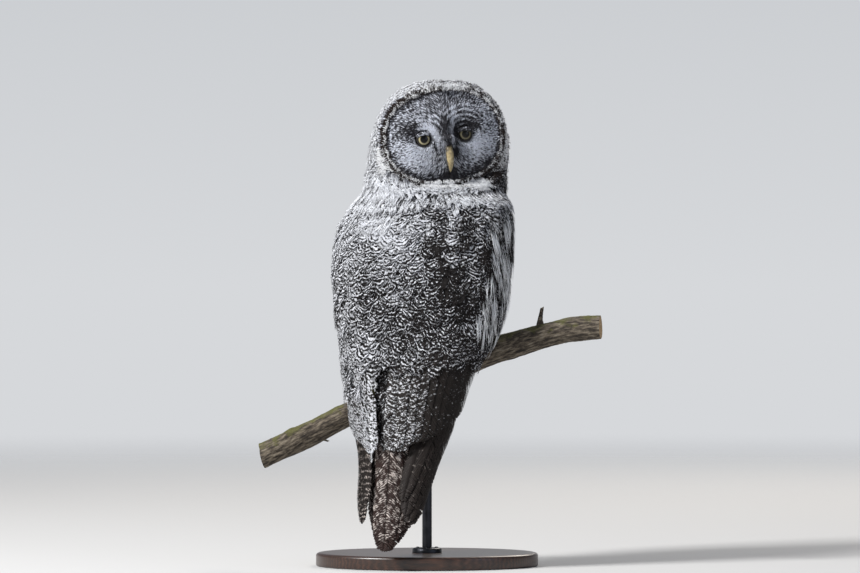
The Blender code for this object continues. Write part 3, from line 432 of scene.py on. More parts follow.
# Old conifer bark shows flat grey plates about 11 mm long and 3 mm wide between dark
# furrows, with grit of 0.7 mm, and yellow-green moss and lichen in patches of 16 mm where
# light and rain fall. Growth rings lie 2.2 mm apart on the pale sawn ends.
bark_mat, tree = new_material("weathered_conifer_bark_with_lichen")
lie = add(tree, "Attribute", attribute_name="lie").outputs["Vector"]
facing = split(tree, "facing")
plates = long_noise(tree, lie, (90.0, 330.0, 330.0), 6.0, 0.62)
grit = noise(tree, lie, 1400.0, 3.0)
damp = calc(tree, "ADD", calc(tree, "MULTIPLY", facing["X"], 0.34), noise(tree, lie, 62.0, 5.0, 0.65))
shade = shades(tree, plates, (0.30, "#15110D"), (0.45, "#3B332A"), (0.58, "#6A6052"), (0.75, "#8E8676"))
moss = shades(tree, grit, (0.3, "#2E3014"), (0.7, "#6E6C34"))
shade = blend(tree, between(tree, damp, 0.70, 0.84, 0.0, 0.8), shade, moss)
wood = shades(tree, noise(tree, lie, 700.0), (0.3, "#8E7350"), (0.7, "#B79A70"))
growth = calc(tree, "SINE", calc(tree, "MULTIPLY", facing["Z"], 900.0 * math.pi))
wood = blend(tree, between(tree, growth, 0.2, 1.0, 0.0, 0.45), wood, linear("#6B4E31"))
close_material(tree, blend(tree, facing["Y"], shade, wood), 0.92,
               bump=(calc(tree, "ADD", plates, grit), 0.55, 0.0007))


def bark_relief(x, turn, radius):
    """Height of the bark: long furrows and plates that wander round the branch, a finer
    grit, and a rounded swelling with a sunken middle at each knot."""
    place = stack(x * 0.34, radius * np.cos(turn), radius * np.sin(turn))
    wander = stack(x, radius * np.cos(turn + 9 * x), radius * np.sin(turn + 9 * x))
    high = 0.0009 * lumps(place, 0.0105, 3) + 0.00055 * lumps(place, 0.0046, 4)
    high += 0.0003 * lumps(wander, 0.0022, 5) - 0.0011 * np.clip(lumps(place, 0.0058, 6) - 0.25, 0, 1)
    for knot_x, knot_turn, size, swell in KNOTS:
        away = np.hypot(x - knot_x, radius * np.angle(np.exp(1j * (turn - knot_turn))))
        high += swell * np.exp(-(away / size) ** 2) - 0.8 * swell * np.exp(-(away / (0.33 * size)) ** 2)
    return high


def drawn_in(ring, shares):
    """Smaller copies of a ring round its own middle, for a sawn end."""
    middle = ring.mean(1, keepdims=True)
    return [middle + (ring - middle) * share for share in shares]


x = np.linspace(BRANCH_X[0], BRANCH_X[-1], BARK_ROWS)
x, turn = np.broadcast_arrays(x[:, None], full_turn(BARK_SIDES)[None])
radius = branch_radius(x) * (1 + 0.035 * np.sin(3 * turn + 40 * x) + 0.02 * np.sin(2 * turn - 70 * x))
_, up, level = branch_frame(x)
rough_radius = radius - 0.0007 + bark_relief(x, turn, radius)
rings = branch_centre(x) + rough_radius[..., None] * circle(turn, level, up)
whole = np.concatenate(drawn_in(rings[:1], CAP_SHARES) + [rings] + drawn_in(rings[-1:], CAP_SHARES[::-1]))
branch = loft_piece("branch", whole, bark_mat)
cap = len(CAP_SHARES)
along = np.concatenate([np.full(cap, BRANCH_X[0]), x[:, 0], np.full(cap, BRANCH_X[-1])])
lie_grid = stack(along[:, None], MEAN_RADIUS * np.cos(turn[:1]), MEAN_RADIUS * np.sin(turn[:1]))
facing_grid = np.zeros_like(whole)
facing_grid[..., 0] = np.sin(turn[:1]) * 0.8 + 0.2
facing_grid[:cap, :, 1] = facing_grid[-cap:, :, 1] = 1.0
facing_grid[..., 2] = np.linalg.norm(whole - whole.mean(1, keepdims=True), axis=-1)
for key, grid in (("lie", lie_grid), ("facing", facing_grid)):
    put_attribute(branch, key, np.concatenate([grid.reshape(-1, 3), grid[:1].mean(1), grid[-1:].mean(1)]))
keep_sharp(branch, 55)
bind(branch, "bark", "perch")

# Each twig is a tapered, slightly bent tube that leaves the bark at a slant and ends in a
# splintered, pale tip.
for name, start_x, turn, lean, length, width in TWIGS:
    along, up, level = branch_frame(start_x)
    out = up * math.sin(turn) + level * math.cos(turn)
    s = np.linspace(0, 1, TWIG_ROWS)[:, None]
    line = branch_centre(start_x) + out * 0.012 + (out + along * lean * (0.6 + 0.5 * s)) * s * length
    size = width * (1 - 0.42 * s) * (1 + 0.9 * np.exp(-s / 0.18))
    ring = line[:, None] + size[..., None] * circle(full_turn(TWIG_SIDES)[None], np.cross(along, out), along)
    rough = 1 + 0.16 * lumps(ring, 0.0032, 8) + 0.08 * lumps(ring, 0.0013, 9)
    ring = line[:, None] + (ring - line[:, None]) * rough[..., None]
    ring[-1] += out * 0.0016 * lumps(ring[-1], 0.0016, 10)[:, None]
    twig = loft_piece(name, ring[:, ::-1], bark_mat)
    spots = np.array([v.co for v in twig.data.vertices])
    tip = np.zeros_like(spots)
    tip[:, 0] = 0.5
    tip[-1, 1] = tip[-TWIG_SIDES - 2:-2, 1] = 0.6
    put_attribute(twig, "lie", spots)
    put_attribute(twig, "facing", tip)
    bind(twig, "bark")

# Skin
# The prepared skin over the body, neck, head and legs, in one piece. It lies under the
# coat by the coat's depth, grey with down, and carries the plumage's markings with their
# painted shade.
HEADING, FACE_TURN, HEAD_ROLL = (math.radians(angle) for angle in (22.0, 13.0, 7.6))
# Stations up the body in metres: the half width, then how far ahead of the axis the back,
# the widest line and the breast lie, and a shift to the bird's right
BODY = {
    "height": (0.040, 0.090, 0.130, 0.156, 0.183, 0.210, 0.237, 0.264, 0.291,
               0.318, 0.345, 0.372, 0.400, 0.430, 0.460, 0.482, 0.503),
    "half": (0.038, 0.0480, 0.0575, 0.0652, 0.0742, 0.0800, 0.086, 0.0935, 0.1015,
             0.1095, 0.1150, 0.1188, 0.1215, 0.1217, 0.1185, 0.1110, 0.1005),
    "back": (-0.154, -0.149, -0.145, -0.141, -0.137, -0.133, -0.129, -0.125, -0.121,
             -0.118, -0.114, -0.111, -0.105, -0.096, -0.084, -0.073, -0.058),
    "wide": (-0.134, -0.124, -0.107, -0.096, -0.086, -0.077, -0.068, -0.058, -0.048,
             -0.038, -0.030, -0.024, -0.018, -0.008, 0.003, 0.012, 0.024),
    "breast": (-0.110, -0.100, -0.085, -0.060, -0.040, -0.020, 0.000, 0.020, 0.045,
               0.072, 0.092, 0.104, 0.109, 0.108, 0.102, 0.096, 0.092),
    "aside": (0.0, 0.0, 0.0015, 0.0018, 0.0012, 0.0, 0.0, 0.0, 0.0,
              0.0, 0.0, -0.0022, -0.0042, -0.0052, -0.0030, 0.0, 0.0)}
# The same low on the body, which tucks in there under the folded wings
TUCK = {
    "height": (0.232, 0.245, 0.260, 0.272, 0.284, 0.298, 0.315, 0.335),
    "half": (0.026, 0.040, 0.051, 0.060, 0.070, 0.084, 0.100, 0.1130),
    "back": (-0.104, -0.109, -0.111, -0.112, -0.1125, -0.1135, -0.1145, -0.1150),
    "wide": (-0.086, -0.083, -0.074, -0.062, -0.051, -0.044, -0.038, -0.033),
    "breast": (-0.068, -0.056, -0.036, -0.006, 0.020, 0.045, 0.068, 0.0860)}
# Stations up the head: the half width, the depths to the face and to the nape, and how
# far ahead its own axis lies
HEAD = {
    "height": (0.503, 0.515, 0.530, 0.548, 0.565, 0.582, 0.600, 0.616, 0.629,
               0.640, 0.648, 0.6535, 0.6560),
    "half": (0.0980, 0.0968, 0.0960, 0.0955, 0.0935, 0.0900, 0.0845, 0.0778, 0.0700,
             0.0605, 0.0500, 0.0375, 0.0160),
    "face": (0.070, 0.0655, 0.0650, 0.0665, 0.0670, 0.0660, 0.0625, 0.0570, 0.0500,
             0.0410, 0.0310, 0.0210, 0.0090),
    "nape": (0.070, 0.0760, 0.0830, 0.0880, 0.0900, 0.0895, 0.0850, 0.0775, 0.0680,
             0.0560, 0.0430, 0.0290, 0.0120),
    "ahead": (0.026, 0.031, 0.036, 0.042, 0.045, 0.046, 0.045, 0.046, 0.047,
              0.050, 0.053, 0.055, 0.056)}
BODY_POWER, DISC_POWER = 2.0 / 2.15, 2.3
TORSO_LOW, WING_LOW, NECK_FOOT, HEAD_FOOT, HEAD_TOP = 0.2335, 0.040, 0.482, 0.503, 0.656
FACE_AXIS_X, FACE_CENTRE_Z = 0.0115, 0.5790
DISC_HALF_WIDTH, DISC_TOP, DISC_BOTTOM = 0.0842, 0.0655, 0.0640
EYE_X = 0.0283
COAT_DEPTH, HEAD_DEPTH, DISC_DEPTH = 0.0075, 0.0050, 0.0022
AROUND = 320
# Roots of feathers are first placed this far from the middle, then moved to the surface
AXIS_REACH = 0.1
UNWRAP_SPAN = 0.2


def table_at(table, height, *keys):
    """Columns of a table read at a height."""
    return [smooth_table(table["height"], table[key], height) for key in keys]


def from_bird(right, ahead, up):
    """Bird axes (right, ahead, up, turned by its heading) to the part's own frame."""
    c, s = math.cos(HEADING), math.sin(HEADING)
    return stack(right * c + ahead * s, -right * s + ahead * c, up).astype(float)


FACE_ACROSS = np.array([math.cos(FACE_TURN), math.sin(FACE_TURN), 0.0])
FACE_OUT = np.array([math.sin(FACE_TURN), -math.cos(FACE_TURN), 0.0])
FACE_RIGHT = math.cos(HEAD_ROLL) * FACE_ACROSS + math.sin(HEAD_ROLL) * UP
FACE_UP = math.cos(HEAD_ROLL) * UP - math.sin(HEAD_ROLL) * FACE_ACROSS
face_axis = from_bird(0.0, *table_at(HEAD, FACE_CENTRE_Z, "ahead"), FACE_CENTRE_Z)
FACE_ORIGIN = face_axis + (FACE_AXIS_X - face_axis[0]) / math.cos(FACE_TURN) * FACE_ACROSS


def from_face(x, y, out):
    """Face axes (viewer's right, up, out of the face) to the part's own frame."""
    x, y, out = np.broadcast_arrays(x, y, out)
    return FACE_ORIGIN + x[..., None] * FACE_RIGHT + y[..., None] * FACE_UP + out[..., None] * FACE_OUT


def to_face(points):
    """The part's own frame to face axes."""
    away = np.asarray(points, float) - FACE_ORIGIN
    return away @ FACE_RIGHT, away @ FACE_UP, away @ FACE_OUT


def powered(values, power):
    """Values raised to a power, with their signs kept."""
    return np.sign(values) * np.abs(values) ** power


def outline(angle, height, lift=0.0, table=BODY):
    """A point of the plumage at an angle round from the middle of the back: a rounded
    ellipse of power 2.15, with its own depth towards the back and the breast."""
    angle, height, lift = np.broadcast_arrays(angle, height, lift)
    half, back, wide, breast = table_at(table, height, "half", "back", "wide", "breast")
    right = (half + lift) * powered(np.sin(angle), BODY_POWER) + table_at(BODY, height, "aside")[0]
    depth = np.where(np.cos(angle) > 0, wide - back + lift, breast - wide + lift)
    return from_bird(right, wide - depth * powered(np.cos(angle), BODY_POWER), height)


def head_ring(turn, height):
    """A level ring of the head round its own axis, turned to the face."""
    half, face, nape, ahead = table_at(HEAD, height, "half", "face", "nape", "ahead")
    x = half * powered(np.sin(turn), BODY_POWER)
    y = np.where(np.cos(turn) > 0, face, nape) * powered(np.cos(turn), BODY_POWER)
    centre = from_bird(0.0, ahead, height)
    return centre + x[:, None] * FACE_ACROSS + y[:, None] * FACE_OUT, centre


def disc_share(x, y):
    """0 at the middle of the facial disc and 1 on its rim: an ellipse of power 2.3."""
    up = np.where(y > 0, DISC_TOP, DISC_BOTTOM)
    return (np.abs(x / DISC_HALF_WIDTH) ** DISC_POWER + np.abs(y / up) ** DISC_POWER) ** (1 / DISC_POWER)


def bell(offset):
    """1 at an offset of 0, and a normal curve outwards."""
    return np.exp(-(offset ** 2))


def spot(u, v, at_u, at_v, wide, tall):
    """A soft round patch, 1 in its middle."""
    return np.exp(-((u - at_u) / wide) ** 2 - ((v - at_v) / tall) ** 2)


def streak(u, v, from_u, from_v, to_u, to_v, wide):
    """A soft stripe between two places, 1 on its line."""
    long_u, long_v = to_u - from_u, to_v - from_v
    share = np.clip(((u - from_u) * long_u + (v - from_v) * long_v) / (long_u**2 + long_v**2), 0, 1)
    return spot(u, v, from_u + share * long_u, from_v + share * long_v, wide, wide)


def all_marks(u, v, marks):
    """Spots and streaks added up. Each mark begins with its strength; four numbers more
    make it a spot and five a streak."""
    return sum(strength * (spot if len(shape) == 4 else streak)(u, v, *shape) for strength, *shape in marks)


def face_relief(x, y):
    """How far the face stands out: a shallow dome with a dish round each eye, a ridge
    between them, full cheeks and a raised rim."""
    base = 0.0625 - x**2 / 0.36 - y**2 / 0.44
    dishes = sum(-0.0085 * spot(x, y, side * EYE_X, 0.0, 0.021, 0.022) for side in (-1, 1))
    ridge = 0.0045 * bell(x / (0.0085 + 0.10 * np.clip(y, 0, 0.05))) * ramp(-0.055, -0.02, y)
    cheeks = 0.0030 * spot(np.abs(x), y, 0.040, -0.036, 0.022, 0.018)
    return base + dishes + ridge + cheeks + 0.0045 * bell((disc_share(x, y) - 0.97) / 0.075)


def with_face(points):
    """Moves the front of the head onto the face's relief."""
    x, y, out = to_face(points)
    inside = (1 - ramp(0.99, 1.30, disc_share(x, y))) * ramp(0.002, 0.030, out)
    inside = inside * ramp(HEAD_FOOT, HEAD_FOOT + 0.011, points[..., 2])
    return points + (inside * (face_relief(x, y) - out))[..., None] * FACE_OUT


def direction(away):
    """The way round from the viewer's side, as an angle."""
    return np.arctan2(away[..., 0], -away[..., 1])


def towards(turn):
    """Level steps of length 1 by the way round from the viewer's side."""
    return stack(np.sin(turn), -np.cos(turn), 0.0)


def polar_row(ring, centre):
    """A ring given again at even directions round its centre; direction 0 is the viewer's."""
    away = ring - centre
    place = direction(away)
    order = np.argsort(place)
    wanted = full_turn(AROUND)
    reach = np.interp(wanted, place[order], np.hypot(away[:, 0], away[:, 1])[order], period=2 * math.pi)
    return towards(wanted) * reach[:, None]


def level_grid(levels, table):
    """Rows of the body's outline and their centres, one for each height."""
    dense = full_turn(720)
    rows, centres = [], []
    for height in levels:
        used = table if height < table["height"][-1] else BODY
        if height <= HEAD_FOOT:
            low = float(min(height, NECK_FOOT)) if table is TUCK else height
            centre = from_bird(*table_at(BODY, low, "aside"), *table_at(used, low, "wide"), low)
            row = polar_row(outline(dense, np.float64(low), 0.0, used), centre)
        if height >= HEAD_FOOT or (height > NECK_FOOT and table is TUCK):
            ring, head_centre = head_ring(dense, max(height, HEAD_FOOT))
            head_row = polar_row(ring, head_centre)
            share = float(ramp(NECK_FOOT, HEAD_FOOT, height))
            if share >= 1:
                row, centre = head_row, head_centre
            else:
                row, centre = row + (head_row - row) * share, centre + (head_centre - centre) * share
        centre = np.array([centre[0], centre[1], height])
        rows.append(centre + row)
        centres.append(centre)
    return np.array(rows), np.array(centres)


def normals_of(grid):
    """Outward unit normals of a grid that wraps round: the cross product of its steps."""
    across = np.roll(grid, -1, 1) - np.roll(grid, 1, 1)
    return unit(np.cross(across, np.gradient(grid, axis=0)))


def look_up(grid, row, column):
    """Bilinear look-up in a grid that wraps round in its columns."""
    rows, columns = grid.shape[:2]
    row = np.clip(row, 0, rows - 1.001)
    i = row.astype(int)
    a = (row - i)[..., None]
    j = np.floor(column).astype(int)
    b = (column - j)[..., None]
    j, k = j % columns, (j + 1) % columns
    low, high = (grid[at, j] * (1 - b) + grid[at, k] * b for at in (i, i + 1))
    return low * (1 - a) + high * a


def read_grid(grid, normals, row, turn):
    """A place on a grid, its normal and its unwrap, by row and the way round."""
    rows, columns = grid.shape[:2]
    column = turn / (2 * math.pi) * columns
    return (look_up(grid, row, column), unit(look_up(normals, row, column)),
            stack(column / columns % 1.0, row / rows))


def centre_at(height, levels, centres):
    """The rows' numbers at these heights, and the axis there."""
    row = np.interp(height, levels, np.arange(len(levels)))
    return row, look_up(centres[:, None], row, row * 0)


def upright_surface(grid, centres, levels):
    """A function that puts points on the grid's surface, level by level, and gives the
    surface's normal and its unwrap: height up, direction across."""
    normals = normals_of(grid)

    def settle(points):
        """Points level with these on the surface, their normals and their unwrap."""
        row, centre = centre_at(points[..., 2], levels, centres)
        return read_grid(grid, normals, row, direction(points - centre))
    return settle


def round_surface(shape, centre):
    """The same for a surface seen from one inner point: rays from there meet it once."""
    rows, columns = 121, 240
    rise = np.linspace(-math.pi / 2, math.pi / 2, rows)[:, None]
    turn = full_turn(columns)[None]
    ways = circle(rise, towards(turn), UP)
    levels, around = shape.shape[:2]
    faces = grid_faces(levels, around).tolist()
    faces += [[row * around + j for j in range(around)] for row in (0, levels - 1)]
    found = BVHTree.FromPolygons(shape.reshape(-1, 3).tolist(), faces)
    reach = [found.ray_cast(Vector(centre), Vector(way))[3] or 0.05 for way in ways.reshape(-1, 3)]
    grid = centre + ways * np.reshape(reach, (rows, columns, 1))
    normals = normals_of(grid)
    normals[0], normals[-1] = -UP, UP

    def settle(points):
        """Points in line with these from the centre, their normals and their unwrap."""
        away = points - centre
        up = np.arctan2(away[..., 2], np.hypot(away[..., 0], away[..., 1]))
        return read_grid(grid, normals, (up / math.pi + 0.5) * (rows - 1), direction(away))
    return settle


head_levels = HEAD_FOOT + (HEAD_TOP - HEAD_FOOT) * np.sin(np.linspace(0, math.pi / 2, 130)) ** 0.95
bird_levels = np.concatenate([np.linspace(TORSO_LOW, HEAD_FOOT, 110)[:-1], head_levels])
bird_grid, bird_centres = level_grid(bird_levels, TUCK)
bird_grid = with_face(bird_grid)
bird_surface = upright_surface(bird_grid, bird_centres, bird_levels)
wing_levels = np.linspace(WING_LOW, HEAD_FOOT, 180)
wing_grid, wing_centres = level_grid(wing_levels, BODY)
wing_surface = upright_surface(wing_grid, wing_centres, wing_levels)
HEAD_CENTRE = from_bird(0.0, 0.045, 0.575) + 0.012 * FACE_OUT
head_surface = round_surface(bird_grid, HEAD_CENTRE)


def face_surface(points):
    """Puts points on the face's relief and gives its normal and unwrap."""
    x, y, _ = to_face(points)
    small = 0.0004
    rise_x = (face_relief(x + small, y) - face_relief(x - small, y)) / (2 * small)
    rise_y = (face_relief(x, y + small) - face_relief(x, y - small)) / (2 * small)
    normal = unit(FACE_OUT - rise_x[..., None] * FACE_RIGHT - rise_y[..., None] * FACE_UP)
    return from_face(x, y, face_relief(x, y)), normal, stack(0.5 + x / UNWRAP_SPAN, 0.5 + y / UNWRAP_SPAN)


# Marks on the back, by x and height: paler where they begin with a number above 0; the
# darker ones are painted shade in hollows and partings between feathers
BACK_MARKS_AND_SHADE = (
    (-0.20, 0.013, 0.440, 0.010, 0.012), (-0.10, 0.022, 0.395, 0.012, 0.030),
    (-0.16, 0.040, 0.478, 0.036, 0.410, 0.008), (-0.12, -0.020, 0.345, 0.022, 0.016),
    (0.40, 0.040, 0.500, 0.034, 0.455, 0.0050), (0.50, 0.029, 0.434, 0.006, 0.010),
    (0.14, -0.055, 0.470, 0.000, 0.430, 0.014), (0.16, 0.066, 0.345, 0.012, 0.022),
    (0.14, -0.036, 0.425, 0.016, 0.010))


def body_tone_and_shade(points):
    """How pale the body's plumage is, 0 to 1: palest on the neck and the near shoulder,
    darker along the spine and on the far wing. This fall from the near side to the far one is
    partly the plumage's own and partly painted light and shade, as the key lamp hangs on the
    left; the dark hollows where feathers part are painted shade."""
    x, z = points[..., 0], points[..., 2]
    front = ramp(0.0, 0.05, points[..., 1] - 0.02)
    # Paler on the near side and darker towards the viewer's right: partly the plumage's own, partly painted
    # light and shade
    tone = 0.47 - 0.11 * ramp(-0.105, -0.050, x) - 0.07 * ramp(-0.05, 0.02, x) - 0.05 * ramp(0.440, 0.360, z)
    tone = tone + 0.17 * ramp(0.425, 0.485, z) * (1 - 0.30 * ramp(-0.02, 0.06, x))
    tone = tone + 0.24 * ramp(0.485, 0.512, z) * (1 - ramp(-0.02, 0.06, x))
    tone = tone + all_marks(x, z, ((0.10, 0.000, 0.290, 0.045, 0.016), (-0.20, 0.080, 0.528, 0.030, 0.010)))
    tone = tone + (1 - front) * all_marks(x, z, BACK_MARKS_AND_SHADE)
    return tone + 0.22 * front + 0.14 * lumps(points, 0.026, 3) + 0.13 * lumps(points, 0.011, 4)


# How dark the disc's rim is, by degrees round from the viewer's right
RIM_TURNS = (0, 30, 62, 80, 100, 118, 150, 176, 196, 226, 250, 275, 305, 335, 360)
RIM_DARKNESS = (0.45, 0.40, 0.28, 0.12, 0.40, 1.0, 1.0, 0.95, 0.50, 0.28, 0.42, 0.62, 0.45, 0.80, 0.45)
# Marks on the disc, by the face's own axes. The dark patch round the farther eye is partly
# its own smudge and partly painted shade; the pale crescent over that eye is weaker than the
# near one's by painted shade
FACE_MARKS = (
    (0.15, -0.040, -0.020, 0.030, 0.018), (0.18, 0.042, -0.016, 0.026, 0.018),
    (0.18, -0.0085, -0.012, -0.0170, 0.012, 0.0042), (0.09, -0.0170, 0.012, -0.0350, 0.028, 0.0055),
    (0.22, 0.0085, -0.010, 0.0150, 0.036, 0.0042), (-0.20, -0.0005, 0.026, 0.0008, -0.014, 0.0042),
    (-0.42, -0.0005, -0.052, 0.0090, 0.0075), (-0.12, -0.0165, -0.004, -0.0120, -0.030, 0.0040),
    (-0.26, 0.0160, 0.004, 0.0110, -0.026, 0.0044), (-0.14, -0.042, 0.013, 0.0220, 0.0110),
    (-0.04, -0.026, 0.040, 0.026, 0.014), (-0.16, 0.042, 0.013, 0.0120, 0.0090),
    (-0.26, EYE_X - 0.001, 0.007, 0.0175, 0.0115), (-0.08, 0.030, -0.046, 0.020, 0.010),
    (-0.07, 0.026, 0.048, 0.026, 0.014), (0.36, -EYE_X - 0.001, 0.0150, 0.0085, 0.0024),
    (0.16, EYE_X - 0.001, 0.0145, 0.0085, 0.0024))
# Where arcs show round the eyes, the first one's distance from the eye, the next ones'
# step, and the radius at which the way round an eye is measured
ARC_MARKS = ((0.30, 0.026, 0.036, 0.030, 0.020), (0.05, -0.040, 0.030, 0.026, 0.018))
ARC_START, ARC_STEP, ARC_RADIUS = 0.019, 0.0066, 0.03


def rim_dark(x, y):
    """How dark the disc's rim is by the way round it: an unbroken line only at the upper
    left, pale and speckled at the top."""
    return np.interp(np.degrees(np.arctan2(y, x)) % 360, RIM_TURNS, RIM_DARKNESS)


def eye_ring(x, y):
    """The way round the nearer eye, in metres at 30 mm from it, and the distance from it."""
    side = np.where(x < 0, -1, 1)
    return np.arctan2(y, (x - side * EYE_X) * side) * ARC_RADIUS, np.hypot(x - side * EYE_X, y)


def face_tone(x, y):
    """How pale the disc is: pale cheeks and brows, dark lores, eye corners and chin, and
    thin dark arcs over the farther eye. Round the farther eye the dark is partly its own and
    partly painted shade."""
    tone = 0.47 + all_marks(x, y, FACE_MARKS) + 0.07 * lumps(stack(x, y, 0.0), 0.008, 21)
    arcs = np.sin(2 * math.pi * (eye_ring(x, y)[1] - ARC_START) / ARC_STEP)
    rim = disc_share(x, y)
    tone = tone + all_marks(x, y, ARC_MARKS) * arcs - 0.80 * rim_dark(x, y) * bell((rim - 0.955) / 0.026)
    return tone - 0.14 * ramp(0.74, 0.95, rim) * ramp(-0.01, -0.04, y)


SHAFT_COLOUR = "#1D1A18"


def plumage(name, dark, pale, period, wave, cell, contrast=0.09, down="#55555A", bars=0.55,
            roughness=0.86, drift=0.0, droop=0.0, stretch=1.0, slant=0.0):
    """The finish of a feathered piece. vane holds the place across and along the feather
    in metres and a number of its own; mark holds paleness, share along and shaft. Bars
    lie a period apart across the feather, bent back at its sides by droop times the square
    of across, and slanted on each feather by its own share of slant."""
    made, tree = new_material(name)
    vane, mark = split(tree, "vane"), split(tree, "mark")
    across, along, chance = vane["X"], vane["Y"], vane["Z"]
    place = add(tree, "CombineXYZ", {"X": across, "Y": calc(tree, "MULTIPLY", along, stretch),
                                     "Z": calc(tree, "MULTIPLY", chance, 0.7)})
    broad = noise(tree, place, 1 / cell)
    fine = noise(tree, place, 2.3 / cell, 3.0, 0.6)
    bend = calc(tree, "MULTIPLY_ADD", calc(tree, "MULTIPLY", across, across), droop, along)
    lean = calc(tree, "MULTIPLY_ADD", chance, 2 * slant, -slant)
    bend = calc(tree, "MULTIPLY_ADD", across, lean, bend)
    turn = calc(tree, "MULTIPLY", bend, 2 * math.pi / period)
    turn = calc(tree, "MULTIPLY_ADD", broad, 2 * math.pi * wave, turn)
    turn = calc(tree, "MULTIPLY_ADD", chance, 40.0 * drift, turn)
    level = calc(tree, "MULTIPLY_ADD", calc(tree, "SINE", turn), bars / 2, mark["X"])
    level = calc(tree, "MULTIPLY_ADD", fine, 1.3, level)
    lit = between(tree, level, 1.15 - contrast, 1.15 + contrast, interpolation_type="SMOOTHSTEP")
    deep, light = (blend(tree, share, linear(one), linear(two))
                   for share, (one, two) in ((broad, dark), (fine, pale)))
    shade = blend(tree, lit, deep, light)
    shade = blend(tree, between(tree, mark["Y"], 0.10, 0.34, 0.85, 0.0), shade, linear(down))
    shade = blend(tree, mark["Z"], shade, linear(SHAFT_COLOUR))
    close_material(tree, shade, roughness, {"Specular IOR Level": 0.25})
    return made


# Contour feathers are keratin so loose that they scatter light evenly: no gloss, and soft
# edges between the near-black and the off-white of the fine wavy bars, 5.6 mm apart.
coat_mat = plumage("soft_barred_contour_feather", ("#0C0A09", "#241F1E"), ("#BABCC3", "#F8F9FC"),
                   0.0056, 2.1, 0.0078, contrast=0.07, drift=1.0, droop=45.0, slant=0.90)

depth = COAT_DEPTH + (HEAD_DEPTH - COAT_DEPTH) * ramp(0.49, 0.52, bird_levels)[:, None]
x, y, out = to_face(bird_grid)
on_disc = (1 - ramp(0.98, 1.10, disc_share(x, y))) * ramp(0.02, 0.04, out)
depth = depth + (DISC_DEPTH - depth) * on_disc
skin_grid = bird_grid - normals_of(bird_grid) * depth[..., None]
skin_grid[-1, :, 2] = np.minimum(skin_grid[-1, :, 2], HEAD_TOP - HEAD_DEPTH)
skin = loft_piece("skin", skin_grid, coat_mat)

FOOT_SPREAD, TOE_SPREAD, GRIP_CLEAR = 0.031, 0.0105, 1.055
ANKLE_RADIUS, THIGH_RADIUS, TOE_RADIUS = 0.0135, 0.0230, 0.0062
SHANK_DEPTH, TOE_DEPTH = 0.0030, 0.0012
# Stations up the leg, as shares of its length, and the radius at each
LEG_SHARES = (0.0, 0.15, 0.45, 0.75, 1.0)
LEG_RADII = (TOE_RADIUS * 1.15, ANKLE_RADIUS * 0.80, ANKLE_RADIUS, (ANKLE_RADIUS + THIGH_RADIUS) / 2,
             THIGH_RADIUS)
HIP_OUT, HIP_AHEAD, HIP_HEIGHT = 0.037, 0.004, 0.338
# A toe's stations as it bends round the branch, in degrees, its thickness at each, and
# the angle from which it keeps its full distance from the foot's middle
TOE_TURNS, TOE_SHARES, TOE_BEND = (0, 28, 56, 84, 108), (1.0, 0.995, 0.98, 0.9, 0.72), 56
# Each toe: 1 where it points away from the viewer, and its place beside the foot's middle
TOES = ((1, -TOE_SPREAD), (1, TOE_SPREAD), (-1, -TOE_SPREAD), (-1, TOE_SPREAD))


def tube_rings(line, radii, sides=20):
    """Rings round a bent line: each stands square to the line's own direction."""
    line = np.asarray(line, float)
    way = unit(np.gradient(line, axis=0))
    side = unit(np.cross(way, (1.0, 0.13, 0.07)))
    ring = circle(full_turn(sides)[None], side[:, None], np.cross(side, way)[:, None])
    return line[:, None] + np.asarray(radii, float)[:, None, None] * ring


def grip(foot_x, shift, way):
    """Where a toe holds the branch: the branch's centre, the ways up and out to the toe's
    side, and the radius that clears the bark. way is 1 away from the viewer."""
    _, up, level = branch_frame(foot_x + shift)
    level = level if level[1] > 0 else -level
    return branch_centre(foot_x + shift), up, level * way, branch_radius(foot_x + shift) * GRIP_CLEAR


def even_line(line, radii, count):
    """The same bent line with its stations at even distances, on a smooth curve."""
    line = np.asarray(line, float)
    gone = np.concatenate([[0], np.cumsum(np.linalg.norm(np.diff(line, axis=0), axis=1))])
    at = np.linspace(0, gone[-1], count)
    return (stack(*(smooth_table(gone, line[:, k] + 1e-9 * gone, at) for k in range(3))),
            smooth_table(gone, np.asarray(radii, float) - 1e-9 * gone, at))


leg_lines, toe_lines = [], []
turns = np.radians(np.linspace(0, TOE_TURNS[-1], 22))
for foot_x in (-FOOT_SPREAD, FOOT_SPREAD):
    along, up, _ = branch_frame(foot_x)
    pad = branch_centre(foot_x) + up * (branch_radius(foot_x) * GRIP_CLEAR + TOE_RADIUS + 0.0003)
    top = from_bird(math.copysign(HIP_OUT, foot_x), HIP_AHEAD, HIP_HEIGHT)
    leg_lines.append(even_line([pad + (top - pad) * s for s in LEG_SHARES], LEG_RADII, 30))
    for way, shift in TOES:
        centre, up, away, reach = grip(foot_x, shift, way)
        inward = (1 - np.minimum(1.0, turns / math.radians(TOE_BEND))) * -shift * 0.6
        spots = centre + along * inward[:, None] + circle(turns, up, away) * (reach + TOE_RADIUS + 0.0006)
        toe_lines.append((spots, TOE_RADIUS * smooth_table(TOE_TURNS, TOE_SHARES, np.degrees(turns))))

limb_parts = [loft_piece("limb", tube_rings(line, radii - under, sides), coat_mat)
              for lines, under, sides in ((leg_lines, SHANK_DEPTH, 28), (toe_lines, TOE_DEPTH, 18))
              for line, radii in lines]
limbs = bpy.data.collections.new("limbs")
for part in limb_parts:
    limbs.objects.link(part)
join = skin.modifiers.new("join_limbs", "BOOLEAN")
join.operation, join.operand_type, join.collection, join.solver = "UNION", "COLLECTION", limbs, "MANIFOLD"
bpy.context.view_layer.update()
joined = bpy.data.meshes.new_from_object(skin.evaluated_get(bpy.context.evaluated_depsgraph_get()))
skin.modifiers.clear()
skin.data = joined
joined.name = "skin"
for part in limb_parts:
    bpy.data.objects.remove(part)
bpy.data.collections.remove(limbs)
skin.data.shade_smooth()

